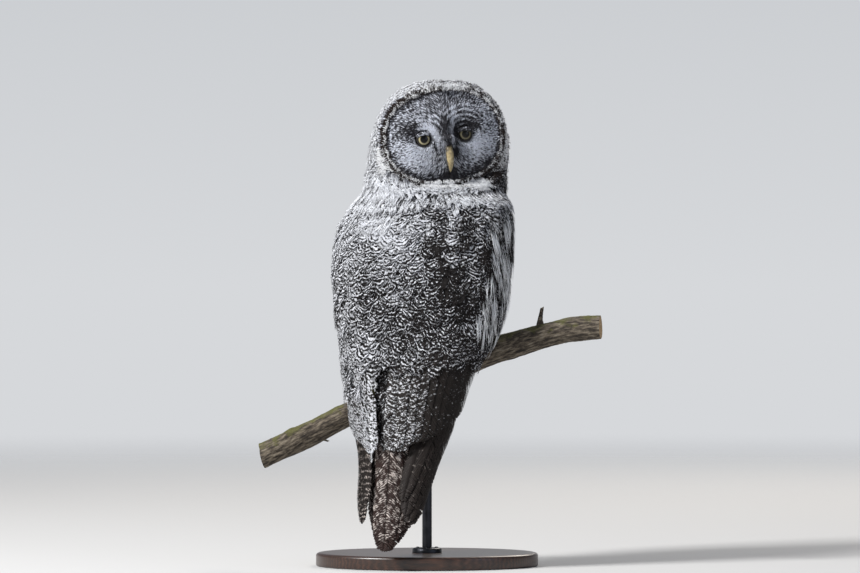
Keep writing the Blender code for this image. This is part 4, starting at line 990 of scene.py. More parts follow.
spots = np.empty(len(skin.data.vertices) * 3, np.float32)
skin.data.vertices.foreach_get("co", spots)
spots = spots.reshape(-1, 3).astype(float)
x, y, out = to_face(spots)
on_face = (disc_share(x, y) < 1.02) & (out > 0.03)
around_eye, from_eye = eye_ring(x, y)
put_attribute(skin, "vane", np.where(on_face[:, None], stack(around_eye, from_eye, 0.0),
                                     stack(direction(spots) * AXIS_REACH, -spots[:, 2], 0.0)))
tone = np.where(on_face, face_tone(x, y), body_tone_and_shade(spots)) - 0.12
put_attribute(skin, "mark", stack(tone, 0.5, 0.0))
bind(skin, "grey_plumage", "torso", "neck", "head", "leg_left", "leg_right")

# Contour feathers of the body
# Soft, rounded feathers in staggered rows over the back, shoulders, breast and belly, each
# made of a fan of barbs and rooted in the skin. Each row lies over the roots of the next.
BAKE_PATCH, PATCH_EDGE = 0.003, 0.001
BODY_RADIUS, BARB_OVERLAP = 0.105, 1.12
draw = np.random.default_rng(20)


def flat_on(ways, normals):
    """Directions laid flat on a surface."""
    return unit(ways - normals * (ways * normals).sum(-1, keepdims=True))


def strand_batch(line, normal, half, ridge, vane, mark, flat, patch):
    """Barbs as closed slivers: stations of two edges and a low ridge between, and one tip.
    line and normal hold each barb's stations and its tip, half and ridge the half width
    and height before the tip, vane and mark the pattern's numbers, and flat the unwrap,
    which patch spreads a little."""
    shape, stations = line.shape[:-1], line.shape[-2] - 1
    vane, mark, patch = (stack(*parts, np.zeros(shape))[..., :-1] for parts in (vane, mark, patch))
    patch = np.clip(flat + BAKE_PATCH * patch, PATCH_EDGE, 1 - PATCH_EDGE)
    line, normal, vane, mark, patch = (values.reshape(-1, *values.shape[-2:])
                                       for values in (line, normal, vane, mark, patch))
    half, ridge = (np.broadcast_to(values, (*shape[:-1], stations)).reshape(-1, stations, 1)
                   for values in (half, ridge))

    def sliver(values, edge, rise=0.0):
        """What both edges and the ridge hold at each station, and then the tip."""
        inner = values[:, :-1]
        rows = np.stack([inner - edge, inner + edge, inner + rise], 2)
        return np.concatenate([rows.reshape(len(rows), stations * 3, -1), values[:, -1:]], 1)
    side = unit(np.cross(np.gradient(line, axis=1), normal))[:, :-1]
    return {"points": sliver(line, side * half, normal[:, :-1] * ridge),
            "vane": sliver(vane, half * (1.0, 0.0, 0.0)), "mark": sliver(mark, 0.0),
            "uv": sliver(patch, half * (0.02, 0.0))}


def strand_faces(stations):
    """Corner indices of one barb: its root, three sides between stations and its tip."""
    loops, totals = [0, 1, 2], [3]
    for at in range(0, 3 * stations, 3):
        for one, two in ((0, 2), (2, 1), (1, 0)):
            tip = [at + 3] if at == 3 * stations - 3 else [at + 3 + two, at + 3 + one]
            loops += [at + one, at + two] + tip
            totals.append(2 + len(tip))
    return np.array(loops), np.array(totals)


def coat_piece(name, batches, material, slot="grey_plumage", *nodes):
    """One piece of coat from batches of barbs, with its pattern's attributes and the UV
    map of small patches named OFBake."""
    loops, totals, start = [], [], 0
    for batch in batches:
        count, size = batch["points"].shape[:2]
        corner, sides = strand_faces(size // 3)
        loops.append((corner + start + size * np.arange(count)[:, None]).ravel())
        totals.append(np.tile(sides, count))
        start += count * size
    loops = np.concatenate(loops)
    whole = {key: np.concatenate([batch[key].reshape(-1, batch[key].shape[-1]) for batch in batches])
             for key in batches[0]}
    piece = mesh_piece(name, whole["points"], loops, np.concatenate(totals), material)
    for key in ("vane", "mark"):
        put_attribute(piece, key, whole[key])
    layer = piece.data.uv_layers.new(name="OFBake")
    layer.data.foreach_set("uv", whole["uv"][loops].astype(np.float32).ravel())
    bind(piece, slot, *nodes)


def split_pieces(name, batch, pieces, material):
    """A large batch as several pieces, each small enough to export whole."""
    bounds = np.linspace(0, len(batch["points"]), pieces + 1).astype(int)
    for number, (start, end) in enumerate(zip(bounds[:-1], bounds[1:])):
        some = {key: values[start:end] for key, values in batch.items()}
        coat_piece(f"{name}_{number + 1}", [some], material)


def plumes(settle, roots, ways, length, width, strands, lift, tone, fan=0.42, roundness=0.36, camber=0.10,
           ridge=0.00022, stations=(0.0, 0.42, 0.80, 1.0), waist=(0.55, 1.1, 0.8), ragged=0.05):
    """Feathers on a surface. A feather runs from its root along its way; its barbs fan out
    from the quill, the outer ones shorter, so that its end is round. width is half its
    width. lift is its height above the surface at the root and the tip; in between it
    rises as share to 0.8."""
    count = len(roots)
    foot, normal, flat = (values[:, None, None] for values in settle(roots))
    ways = flat_on(ways[:, None, None], normal)
    place = np.linspace(-1, 1, strands) if strands > 1 else np.zeros(1)
    share = np.asarray(stations)
    length, width, root_lift, tip_lift, tone = (
        np.broadcast_to(value, count).astype(float)[:, None, None] for value in (length, width, *lift, tone))
    reach = length[..., 0] * (1 - roundness * np.abs(place) ** 2.4)
    reach = reach * (1 + draw.uniform(-ragged, ragged, (count, strands)))
    along = share * reach[..., None]
    across = width * place[:, None] * (fan + (1 - fan) * np.minimum(1.0, share / 0.62) ** 0.8)
    across = across + draw.uniform(-0.12, 0.12, (count, strands, 1)) * width / strands * 2 * share
    line = foot + ways * along[..., None] + np.cross(ways, normal) * across[..., None]
    line, normals, _ = settle(line)
    rise = root_lift + (tip_lift - root_lift) * share ** 0.8 - camber * across**2 / np.maximum(width, 1e-6)
    line = line + normals * rise[..., None]
    chance = draw.uniform(0, 1, count)[:, None, None]
    half = width / strands * np.asarray(waist) * BARB_OVERLAP
    return strand_batch(line, normals, half, ridge, (across, along, chance), (tone, share, 0.0),
                        flat, (across / np.maximum(width, 1e-6) * 0.4, share - 0.5))


def roots_at(turn, height):
    """Places beside the body, by the way round from the viewer's side and the height."""
    return centre_at(height, bird_levels, bird_centres)[1] + AXIS_REACH * towards(turn)


def staggered_rows(low, high, step, apart, left, right, jitter):
    """Roots in rows up the body from low to high, a step apart, each row shifted by half
    the distance between its feathers. left and right are the directions, from the
    viewer's, between which the rows run."""
    turn, height = [], []
    for number, level in enumerate(np.arange(low, high, step)):
        row = np.arange(left, right, apart / BODY_RADIUS) + (number % 2) * apart / BODY_RADIUS / 2
        turn.append(row)
        height.append(np.full(len(row), level))
    turn, height = np.concatenate(turn), np.concatenate(height)
    turn = turn + draw.uniform(-jitter, jitter, len(turn)) * apart / BODY_RADIUS
    return roots_at(turn, height + draw.uniform(-jitter, jitter, len(turn)) * step)


def swung(ways, normals, swing):
    """Turns directions about the surface's normal by a small angle."""
    return ways * np.cos(swing)[:, None] + np.cross(ways, normals) * np.sin(swing)[:, None]


def body_plumes(settle, roots, length, width, strands, lift, sway=0.16, turned=0.0, tone_shift=0.0, **shape):
    """Feathers that point down the body, swung at random and in drifts of like turn."""
    foot, normal, _ = settle(roots)
    swing = draw.normal(0, sway, len(roots)) + turned * lumps(foot, 0.030, 11)
    way = flat_on(-UP, normal)
    return plumes(settle, roots, swung(way, normal, swing), length, width, strands, lift,
                  body_tone_and_shade(foot) + tone_shift, **shape)


def edged_with_painted_shade(batch, width, depth, start=0.45):
    """Darkens both sides of a batch's feathers by depth, which leaves a pale middle: painted
    shade where the feathers part.
    """
    batch["mark"][..., 0] -= depth * ramp(start, 0.95, np.abs(batch["vane"][..., 0]) / width)
    return batch


# The mantle and the wings' small coverts, which show as one sheet over the back. They lie
# in soft clumps, some feathers turned or raised, so that the light breaks on them.
BACK_LEFT, BACK_RIGHT = math.radians(-125), math.radians(84)
BACK_ROWS, BACK_JITTER = (0.300, 0.496, 0.0080, 0.0096), 0.32
BACK_LENGTH, BACK_WIDTH, BACK_STRANDS = 0.031, 0.0104, 13
roots = staggered_rows(*BACK_ROWS, BACK_LEFT, BACK_RIGHT, BACK_JITTER)
size = (1 - 0.30 * ramp(0.44, 0.49, roots[:, 2])) * draw.uniform(0.88, 1.15, len(roots))
clump = lumps(roots, 0.024, 7)
loose = draw.random(len(roots)) < 0.07
hem = ramp(0.345, 0.305, roots[:, 2]) * draw.uniform(-0.20, 0.55, len(roots))
split_pieces("back_feathers", body_plumes(
    wing_surface, roots, BACK_LENGTH * size * (1 + hem), BACK_WIDTH * size, BACK_STRANDS,
    (-0.0062 * size, 0.0010 + 0.0024 * clump + draw.normal(0, 0.0008, len(roots)) + 0.0018 * loose),
    turned=0.45, stations=(0.0, 0.34, 0.62, 0.86, 1.0), waist=(0.55, 0.95, 1.1, 0.8)), 3, coat_mat)

# Loose tips that stand off the near wing's front edge, above the branch
LOOSE_TIPS, LOOSE_WIDTH, LOOSE_STRANDS = 26, 0.0080, 11
turn = np.radians(draw.uniform(-112, -76, LOOSE_TIPS))
roots = roots_at(turn, np.sort(draw.uniform(0.246, 0.312, LOOSE_TIPS)))
coat_piece("loose_wing_tips", [body_plumes(
    wing_surface, roots, draw.uniform(0.024, 0.038, LOOSE_TIPS), LOOSE_WIDTH, LOOSE_STRANDS,
    (-0.0050, 0.0042), sway=0.25, tone_shift=0.10, ragged=0.12, roundness=0.5)], coat_mat)

# The breast and belly: longer, looser, paler, nearly half with a broad dark streak. The finish is
# matt grey-white with faint dark bars 6.4 mm apart, clouded in patches of 7.5 mm.
BREAST_ROWS, BREAST_EDGE, BREAST_JITTER = (0.262, 0.484, 0.0092, 0.0112), 0.16, 0.55
BREAST_LENGTH, BREAST_WIDTH, BREAST_STRANDS = 0.040, 0.0122, 11
breast_mat = plumage("streaked_breast_feather", ("#1C1817", "#3A3432"), ("#B4B5BA", "#ECEDF0"),
                     0.0064, 1.5, 0.0075, contrast=0.09, bars=0.42, drift=1.0, droop=40.0, slant=0.7)
roots = staggered_rows(*BREAST_ROWS, BACK_RIGHT - BREAST_EDGE, 2 * math.pi + BACK_LEFT + BREAST_EDGE,
                       BREAST_JITTER)
size = (1 - 0.40 * ramp(0.45, 0.500, roots[:, 2])) * draw.uniform(0.85, 1.15, len(roots))
breast = body_plumes(
    bird_surface, roots, BREAST_LENGTH * size, BREAST_WIDTH * size, BREAST_STRANDS,
    (-0.0062 * size, 0.0010 + 0.0016 * lumps(roots, 0.022, 9) + draw.normal(0, 0.0007, len(roots))),
    sway=0.20, turned=0.30, ragged=0.12)
streaked = (draw.random(len(roots)) < 0.45).repeat(BREAST_STRANDS)[:, None]
breast["mark"][..., 0] -= 0.34 * streaked * ramp(0.0052, 0.0016, np.abs(breast["vane"][..., 0]))
coat_piece("breast_feathers", [breast], breast_mat)

# The neck's short pale feathers, all round under the head, which hide where it turns. The
# finish is matt white with dark flecks 5.6 mm wide, drawn out to 19 mm along the feather.
NECK_ROWS, NECK_JITTER = (0.466, 0.541, 0.0052, 0.0070), 0.55
NECK_LENGTH, NECK_WIDTH, NECK_STRANDS = 0.0225, 0.0056, 7
collar_mat = plumage("pale_streaked_neck_feather", ("#0F0D0C", "#282322"), ("#C6C8CE", "#F9FAFC"),
                     0.0060, 1.6, 0.0056, contrast=0.07, drift=1.0, droop=30.0, stretch=0.30, bars=0.20)
roots = staggered_rows(*NECK_ROWS, -math.pi, math.pi - 0.05, NECK_JITTER)
x, y, out = to_face(bird_surface(roots)[0])
roots = roots[(disc_share(x, y) > 1.02) | (out < 0.02)]
size = draw.uniform(0.85, 1.2, len(roots))
# Their sides are darkened as painted shade where the feathers part
coat_piece("neck_feathers", [edged_with_painted_shade(body_plumes(
    bird_surface, roots, NECK_LENGTH * size, NECK_WIDTH * size, NECK_STRANDS,
    (-0.0046, 0.0012 + 0.0018 * lumps(roots, 0.020, 8) + draw.normal(0, 0.0009, len(roots))),
    sway=0.26, turned=0.30, tone_shift=0.10, ragged=0.12, roundness=0.5), NECK_WIDTH, 0.34)], collar_mat)

# Longer white plumes that hang under the chin and over the shoulders
BIB_PLUMES, CREASE_PLUMES, BIB_WIDTH, BIB_STRANDS = 240, 44, 0.0044, 9
turn = np.radians(np.append(draw.uniform(-75, 80, BIB_PLUMES), draw.uniform(-56, -20, CREASE_PLUMES)))
height = np.append(draw.uniform(0.490, 0.512, BIB_PLUMES), draw.uniform(0.512, 0.530, CREASE_PLUMES))
roots = roots_at(turn, height)[np.argsort(height, kind="stable")]
# Their sides are darkened as painted shade where the feathers part
coat_piece("bib_feathers", [edged_with_painted_shade(body_plumes(
    bird_surface, roots, draw.uniform(0.022, 0.036, len(roots)), BIB_WIDTH, BIB_STRANDS,
    (0.0004, 0.0038), sway=0.30, tone_shift=0.20, ragged=0.20, roundness=0.60), BIB_WIDTH, 0.60)], collar_mat)

# The long flank feathers at the viewer's right, white with painted shade in a dark line down
# each side where they part, which lie over the wing's front edge and end in loose wisps above
# the branch. The finish is matt white, with grey clouds 8 mm wide drawn out to 36 mm along the feather.
FLANKS, FLANK_STRANDS, FLANK_WIDTH = 84, 13, 0.0068
flank_mat = plumage("long_striped_flank_feather", ("#0F0C0B", "#221D1B"), ("#E2E5EA", "#FFFFFF"),
                    0.030, 1.6, 0.0080, contrast=0.08, bars=0.10, stretch=0.22)
place = (np.arange(FLANKS) + draw.uniform(-0.5, 0.5, FLANKS)) / FLANKS
roots = roots_at(np.radians(draw.uniform(46, 86, FLANKS)), 0.490 - 0.152 * place)
flank = body_plumes(wing_surface, roots, draw.uniform(0.040, 0.066, FLANKS), FLANK_WIDTH, FLANK_STRANDS,
                    (-0.0048, 0.0044), sway=0.13, turned=0.20, tone_shift=0.72, ragged=0.26, roundness=0.60)
flank["mark"][..., 0] -= 0.70 * (draw.random(FLANKS) < 0.35).repeat(FLANK_STRANDS)[:, None]
coat_piece("flank_feathers", [edged_with_painted_shade(flank, FLANK_WIDTH, 1.2, 0.50)], flank_mat)

# Head feathers
# Short dense feathers over the crown, the sides of the head and the nape. They flow away
# from the face over the crown, then down to the neck, growing longer as they go.
HEAD_PLUMES, HEAD_HEM = 7000, 0.512
HEAD_LENGTH, HEAD_WIDTH, HEAD_STRANDS = 0.0165, 0.0046, 5
GOLDEN_ANGLE = math.pi * (3 - math.sqrt(5))

step = np.arange(HEAD_PLUMES) + 0.5
rise = np.arcsin(1 - 2 * step / HEAD_PLUMES)
turn = step * GOLDEN_ANGLE
ways = circle(rise, stack(np.cos(turn), np.sin(turn), 0.0), UP)
ways = ways + draw.normal(0, 0.010, (HEAD_PLUMES, 3))
roots, normal, _ = head_surface(HEAD_CENTRE + ways * AXIS_REACH)
x, y, out = to_face(roots)
keep = (roots[:, 2] > HEAD_HEM) & ((disc_share(x, y) > 1.04) | (out < 0.02))
order = np.argsort(roots[keep][:, 2], kind="stable")
roots, normal, out = (values[keep][order] for values in (roots, normal, out))
behind = ramp(0.045, -0.03, out)
away = roots - FACE_ORIGIN
away = unit(away - FACE_OUT * (away @ FACE_OUT)[:, None]) - FACE_OUT * (0.3 + 1.2 * behind)[:, None]
fall = normal * normal[:, 2:3] - UP
share = np.clip(behind * 0.9 + ramp(0.60, 0.53, roots[:, 2]) * 0.9, 0, 1)[:, None]
flow = swung(unit(flat_on(away, normal) * (1 - share) + fall * share), normal,
             draw.normal(0, 0.16, len(roots)) + 0.25 * lumps(roots, 0.022, 12))
grow = (0.50 + 0.50 * ramp(0.050, -0.040, out)) * draw.uniform(0.85, 1.15, len(roots))
# Paler next to the face. Darker towards the viewer's right, dark low on that side and pale low on the near
# side: partly the plumage's own, partly painted light and shade from the key lamp
tone = 0.55 + 0.12 * ramp(0.045, 0.0, out) - 0.15 * ramp(-0.03, 0.05, roots[:, 0])
tone = tone + 0.12 * lumps(roots, 0.012, 13) + all_marks(
    roots[:, 0], roots[:, 2], ((0.18, -0.055, 0.535, 0.020, 0.020), (-0.40, 0.070, 0.526, 0.028, 0.014)))
tuft = draw.random(len(roots)) < 0.10
# The crown is matt like the back, in finer and softer bars 4.6 mm apart
crown_mat = plumage("fine_barred_head_feather", ("#161211", "#2F2928"), ("#C2C4CA", "#F6F7F9"),
                    0.0046, 1.5, 0.0048, contrast=0.10, drift=1.0, droop=60.0, stretch=0.7)
split_pieces("head_feathers", plumes(
    head_surface, roots, flow, HEAD_LENGTH * grow, HEAD_WIDTH * grow, HEAD_STRANDS,
    (-0.0042 * grow, 0.0009 + 0.0010 * lumps(roots, 0.014, 14) + 0.0026 * tuft), tone, ragged=0.14),
    2, crown_mat)

# Facial disc
# Stiff loose bristles that radiate from each eye to the rim, pale grey with fine dark
# dashes, faint rings round the eyes, pale brows between them, and dark lores and chin.
BRISTLES, LORE_BRISTLES = 9800, 620
BRISTLE_HALF, LORE_HALF, BRISTLE_SWAY = 0.00060, 0.00042, 0.20
EYE_RADIUS, EYE_PROUD = 0.0132, 0.0052
LID_RADIUS = 0.0100


def bristle_ways(x, y):
    """Directions over the disc: away from the nearer eye, and down and out at the chin."""
    pull = 0
    for side in (-1, 1):
        step = stack(x - side * EYE_X, y)
        away = np.linalg.norm(step, axis=1, keepdims=True)
        pull = pull + np.exp(-away / 0.011) / away * step
    chin = spot(x, y, 0.0, -0.046, 0.016, 0.018)[:, None]
    return unit(pull) * (1 - chin) + chin * stack(0.5 * np.sign(x), -1.0)


def turned_flat(ways, swing):
    """Directions on the face turned by an angle."""
    c, s = np.cos(swing), np.sin(swing)
    return stack(ways[:, 0] * c - ways[:, 1] * s, ways[:, 0] * s + ways[:, 1] * c)


def bristles(x, y, ways, length, half, lift, tone_shift=0.0):
    """Single barbs on the face, dashed along their way from the eye."""
    ways = ways[:, :1] * FACE_RIGHT + ways[:, 1:] * FACE_UP
    batch = plumes(face_surface, from_face(x, y, face_relief(x, y)), ways, length, half, 1, lift, 0.5,
                   stations=(0.0, 0.5, 1.0), waist=(0.8, 1.0), ridge=0.00018)
    x, y, _ = to_face(batch["points"])
    around_eye, from_eye = eye_ring(x, y)
    batch["vane"] = stack(around_eye * (0.4 + from_eye / ARC_RADIUS), from_eye, np.where(x < 0, 0.0, 0.5))
    batch["mark"] = stack(face_tone(x, y) + tone_shift, 0.6, 0.0)
    return batch


step = np.arange(BRISTLES) + 0.5
cosine, sine = np.cos(step * GOLDEN_ANGLE), np.sin(step * GOLDEN_ANGLE)
reach = np.sqrt(step / BRISTLES) * 1.01 * (
    np.abs(cosine) ** DISC_POWER + np.abs(sine) ** DISC_POWER) ** (-1 / DISC_POWER)
x = reach * cosine * DISC_HALF_WIDTH
y = reach * sine * np.where(sine > 0, DISC_TOP, DISC_BOTTOM)
_, from_eye = eye_ring(x, y)
under_bill = (np.abs(x) < 0.0040) & (y < -0.026) & (y > -0.042)
keep = (from_eye > LID_RADIUS + 0.0006) & ~under_bill
x, y, from_eye = x[keep], y[keep], from_eye[keep]
# The bristles are matt blue-grey to the eye, in dashes 6.4 mm apart and clouds of 4.6 mm
disc_mat = plumage("stiff_disc_bristle", ("#191719", "#3B3A3F"), ("#B4B9C6", "#F4F7FF"), 0.0064, 0.35, 0.0046,
                   contrast=0.10, bars=0.05, stretch=0.55)
disc = [bristles(x, y, turned_flat(bristle_ways(x, y), draw.normal(0, BRISTLE_SWAY, len(x))),
                 0.0040 + 0.0046 * ramp(0.012, 0.045, from_eye), BRISTLE_HALF,
                 (-0.0020, 0.0005 + 0.0006 * draw.uniform(-1, 1, len(x))))]
# Bristles that lean over the root of the bill from both sides
x = draw.uniform(0.0008, 0.0090, LORE_BRISTLES) * draw.choice((-1, 1), LORE_BRISTLES)
y = draw.uniform(-0.0175, 0.004, LORE_BRISTLES)
lean = stack(-0.36 * np.sign(x), -1.0)
disc.append(bristles(x, y, turned_flat(lean, draw.normal(0, BRISTLE_SWAY, LORE_BRISTLES)),
                     draw.uniform(0.008, 0.013, LORE_BRISTLES), LORE_HALF, (-0.0010, 0.0105), -0.10))
coat_piece("facial_disc", disc, disc_mat)

# Ruff
# Rows of small stiff feathers round the disc: the inner rows dark brown, the outer ones
# dark with white tips, bent back over the side of the head, and white tufts at the chin.
CHIN_HEIGHT, CHIN_TUFTS, TUFT_WIDTH, TUFT_STRANDS = 0.535, 260, 0.0026, 5
RUFF_STRANDS, RUFF_WIDTH = 3, 0.0017
# Each row: its share of the disc, feathers, length, lift of the tips, tone at root and tip
RUFF_ROWS = ((0.910, 300, 0.0070, 0.0014, 0.40, 0.56), (0.945, 320, 0.0080, 0.0024, -0.30, -0.06),
             (0.985, 310, 0.0080, 0.0026, 0.26, 0.95), (1.025, 320, 0.0085, 0.0022, 0.34, 1.05),
             (1.065, 330, 0.0090, 0.0014, 0.36, 1.00), (1.110, 330, 0.0095, 0.0010, 0.36, 0.92))


def rim_place(turn, share):
    """A place on the face, by the way round the disc and its share of the disc."""
    dx, dy = np.cos(turn), np.sin(turn)
    reach = share / disc_share(dx, dy)
    return dx * reach, dy * reach


ruff = []
for number, (share, count, length, tip_lift, tone_in, tone_out) in enumerate(RUFF_ROWS):
    turn = (np.arange(count) + draw.uniform(-0.35, 0.35, count)) * 2 * math.pi / count
    x, y = rim_place(turn, share + draw.uniform(-0.016, 0.016, count))
    x1, y1 = rim_place(turn, share + 0.07)
    roots = from_face(x, y, face_relief(x, y))
    way = unit((x1 - x)[:, None] * FACE_RIGHT + (y1 - y)[:, None] * FACE_UP) - FACE_OUT * 0.10 * number
    way = way + np.cross(way, FACE_OUT) * draw.normal(0, 0.22, count)[:, None]
    low = roots[:, 2] < CHIN_HEIGHT
    for chosen, surface in ((low, bird_surface), (~low, head_surface)):
        some = int(chosen.sum())
        part = plumes(face_surface if share < 0.95 else surface, roots[chosen], way[chosen],
                      length * draw.uniform(0.75, 1.25, some), RUFF_WIDTH, RUFF_STRANDS,
                      (-0.0022, tip_lift + draw.normal(0, 0.0005, some)), 0.0, roundness=0.25)
        tone = tone_in + (tone_out - tone_in) * ramp(0.40, 0.66, part["mark"][..., 1])
        at_x, at_y = (values[chosen].repeat(RUFF_STRANDS)[:, None] for values in (x, y))
        if number == 1:
            tone = tone + 0.80 * (1 - rim_dark(at_x, at_y))
        if number > 1:
            tone = tone - 0.75 * ramp(0.020, 0.045, at_x) * ramp(-0.030, -0.055, at_y)
        part["mark"][..., 0] = tone + 0.26 * lumps(part["points"], 0.006, 31)
        ruff.append(part)
x = draw.choice((-1, 1), CHIN_TUFTS) * draw.uniform(0.005, 0.024, CHIN_TUFTS)
y = -0.056 - draw.uniform(0.0, 0.018, CHIN_TUFTS)
ways = -FACE_UP + draw.normal(0, 0.2, (CHIN_TUFTS, 1)) * FACE_RIGHT
part = plumes(bird_surface, from_face(x, y, 0.055), ways, draw.uniform(0.010, 0.016, CHIN_TUFTS),
              TUFT_WIDTH, TUFT_STRANDS, (-0.0010, 0.0030), 0.80, ragged=0.15)
part["mark"][..., 0] += 0.30 * lumps(part["points"], 0.007, 32)
ruff.append(part)
# Stiff feathers with a matt face, dark brown to white, flecked every 2.6 mm
ruff_mat = plumage("stiff_ruff_feather", ("#17110E", "#2E2420"), ("#C4C5C8", "#FAFAFA"), 0.0080, 0.8, 0.0026,
                   contrast=0.10, bars=0.15)
coat_piece("ruff", ruff, ruff_mat)

# Eyes
# Glass eyes as a museum sets them: a clear dome over a dull straw-yellow iris with fine
# radial fibres, a dark ring at its edge and a large black pupil. The farther iris is darker,
# as it is in its brow's shade.
IRIS_RADIUS, PUPIL_RADIUS = 0.0086, 0.0048
FAR_DIMMED = 0.60
PUPIL_SHARE = PUPIL_RADIUS / IRIS_RADIUS + 0.025
BEYOND_IRIS = 0.02

# Glass gives a hard small highlight over the iris, whose fibres are about 1 mm wide round
# it and run from the pupil to the edge.
eye_mat, tree = new_material("glass_eye_yellow_iris")
iris = split(tree, "iris")
fibre_at = add(tree, "CombineXYZ", {"X": iris["Y"], "Y": calc(tree, "MULTIPLY", iris["X"], 60.0)})
share = calc(tree, "MULTIPLY_ADD", noise(tree, fibre_at, 9.0, 3.0), 0.05,
             calc(tree, "DIVIDE", iris["X"], IRIS_RADIUS))
shade = shades(tree, share, (PUPIL_SHARE - 0.015, "#030303"), (PUPIL_SHARE + 0.03, "#4A4430"),
               (PUPIL_SHARE + 0.17, "#ADA584"), (0.88, "#7B745A"), (0.965, "#0E0A05"))
close_material(tree, blend(tree, iris["Z"], shade, linear("#12110C")), 0.30, {
    "Specular IOR Level": 0.0, "Coat Weight": 0.8, "Coat IOR": 1.38, "Coat Roughness": 0.02})


def eye_centre(side):
    """The middle of an eye's ball; side is -1 at the viewer's left and 1 at the right."""
    x = np.float64(side * EYE_X)
    return from_face(x, np.float64(0.0), face_relief(x, 0.0) - EYE_RADIUS + EYE_PROUD)


def tilted_axes(axis):
    """An axis with two directions square to it, for rings round it."""
    axis = unit(axis)
    right = unit(np.cross(UP, axis))
    return axis, right, np.cross(axis, right)


bend = np.concatenate([np.linspace(0.03, 1.0, 44), np.linspace(1.08, 3.05, 22)])[::-1]
around = full_turn(96)
for side, node_name in ((-1, "eye_left"), (1, "eye_right")):
    axis, right, up = tilted_axes(FACE_OUT + side * 0.06 * FACE_RIGHT)
    flat = EYE_RADIUS * np.sin(bend)
    rings = (eye_centre(side) + axis * (EYE_RADIUS * np.cos(bend))[:, None, None]
             + flat[:, None, None] * circle(around[None], right, up))
    eye = loft_piece(node_name + "_glass", rings, eye_mat)
    ringed = stack(np.where(bend < 1.6, flat, BEYOND_IRIS)[:, None], around, 0.0 if side < 0 else FAR_DIMMED)
    put_attribute(eye, "iris", np.concatenate([ringed.reshape(-1, 3), [(BEYOND_IRIS, 0, 0), (0, 0, 0)]]))
    bind(eye, "eye", node_name)

# Eyelids
# Bare black skin round each eye, drawn well down over its top; small pale bristles of
# the disc cover the lid above it.
LID_REACH, LID_LIFT = 0.0107, 0.0002
LID_BRISTLES, LID_BRISTLE_HALF, BRISTLE_LIFT = 150, 0.00045, 0.0010

# Bare skin is black with a faint sheen, creased by wrinkles 0.7 mm apart
lid_mat, tree = new_material("bare_black_eyelid_skin")
wrinkles = noise(tree, coordinates(tree), 1500.0, 3.0)
close_material(tree, shades(tree, wrinkles, (0.3, "#060505"), (0.75, "#1A1614")), 0.5,
               bump=(wrinkles, 0.3, 0.0003))


def lid_edge(turn):
    """The opening between the lids, by the way round from the viewer's right: nearly a
    circle, cut off by the upper lid."""
    return 0.0090 - 0.0046 * ramp(0.05, 0.95, np.sin(turn)) - 0.0004 * ramp(0.5, 1.0, -np.sin(turn))


def over_eye(radius, lift):
    """How far out of the eye's middle its ball lies, lifted, at a distance from the axis."""
    return np.sqrt(np.maximum((EYE_RADIUS + lift) ** 2 - radius**2, 1e-8))


turn, around = full_turn(120)[:, None], full_turn(16)[None]
for side, lid_name in ((-1, "eyelid_left"), (1, "eyelid_right")):
    axis, right, up = tilted_axes(FACE_OUT)
    radius = lid_edge(turn) + (LID_REACH - lid_edge(turn)) * (1 + np.cos(around)) / 2
    rise = 0.0011 * np.maximum(np.sin(around), -0.15) + LID_LIFT
    reach = (over_eye(radius, LID_LIFT) + rise * 1.1)[..., None]
    points = eye_centre(side) + axis * reach + radius[..., None] * circle(turn, right, up)
    count, sides = radius.shape
    faces = grid_faces(count + 1, sides) % (count * sides)
    bind(mesh_piece(lid_name, points, faces[:, ::-1], np.full(len(faces), 4), lid_mat), "grey_plumage")

# Tiny bristles that grow on the upper lids themselves; those over the farther eye are
# painted darker as shade
lid_batches = []
for side, tone in ((-1, 0.47), (1, 0.36)):
    turn = np.radians(draw.uniform(22, 158, LID_BRISTLES))
    spread = lid_edge(turn) + draw.uniform(0.0007, 0.0040, LID_BRISTLES)
    x, y = side * EYE_X + spread * np.cos(turn), spread * np.sin(turn)
    out = to_face(eye_centre(side))[2] + over_eye(spread, BRISTLE_LIFT)
    part = bristles(x, y, stack(np.cos(turn) * 0.8, np.sin(turn) + 0.2),
                    draw.uniform(0.0026, 0.0040, LID_BRISTLES), LID_BRISTLE_HALF, (0.0, 0.0008))
    part["points"] = part["points"] + (out - face_relief(x, y))[:, None, None] * FACE_OUT
    part["mark"][..., 0] = tone
    lid_batches.append(part)
coat_piece("eyelid_bristles", lid_batches, disc_mat)

# Bill
# Smooth dull khaki horn, a hooked upper half over a shorter lower one. Bristles of the
# lores lie over its root and the nostrils.
BILL_TOP, BILL_TIP, BILL_WIDTH = -0.0130, -0.0485, 0.0125

# Horn shines softly through a thin clear layer, clouded in patches of 4 mm and streaked
# lengthwise by lines 0.6 mm wide and 6 mm long.
horn_mat, tree = new_material("polished_yellow_horn")
coords = coordinates(tree)
clouds = noise(tree, coords, 260.0, 3.0)
streaks = long_noise(tree, coords, (1800.0, 1800.0, 160.0))
close_material(tree, shades(tree, clouds, (0.30, "#75664A"), (0.52, "#A3926A"), (0.75, "#C2B48C")), 0.36,
               {"Coat Weight": 0.3, "Coat Roughness": 0.2}, (streaks, 0.12, 0.0003))

s = np.linspace(0, 1, 40)
around = full_turn(48)
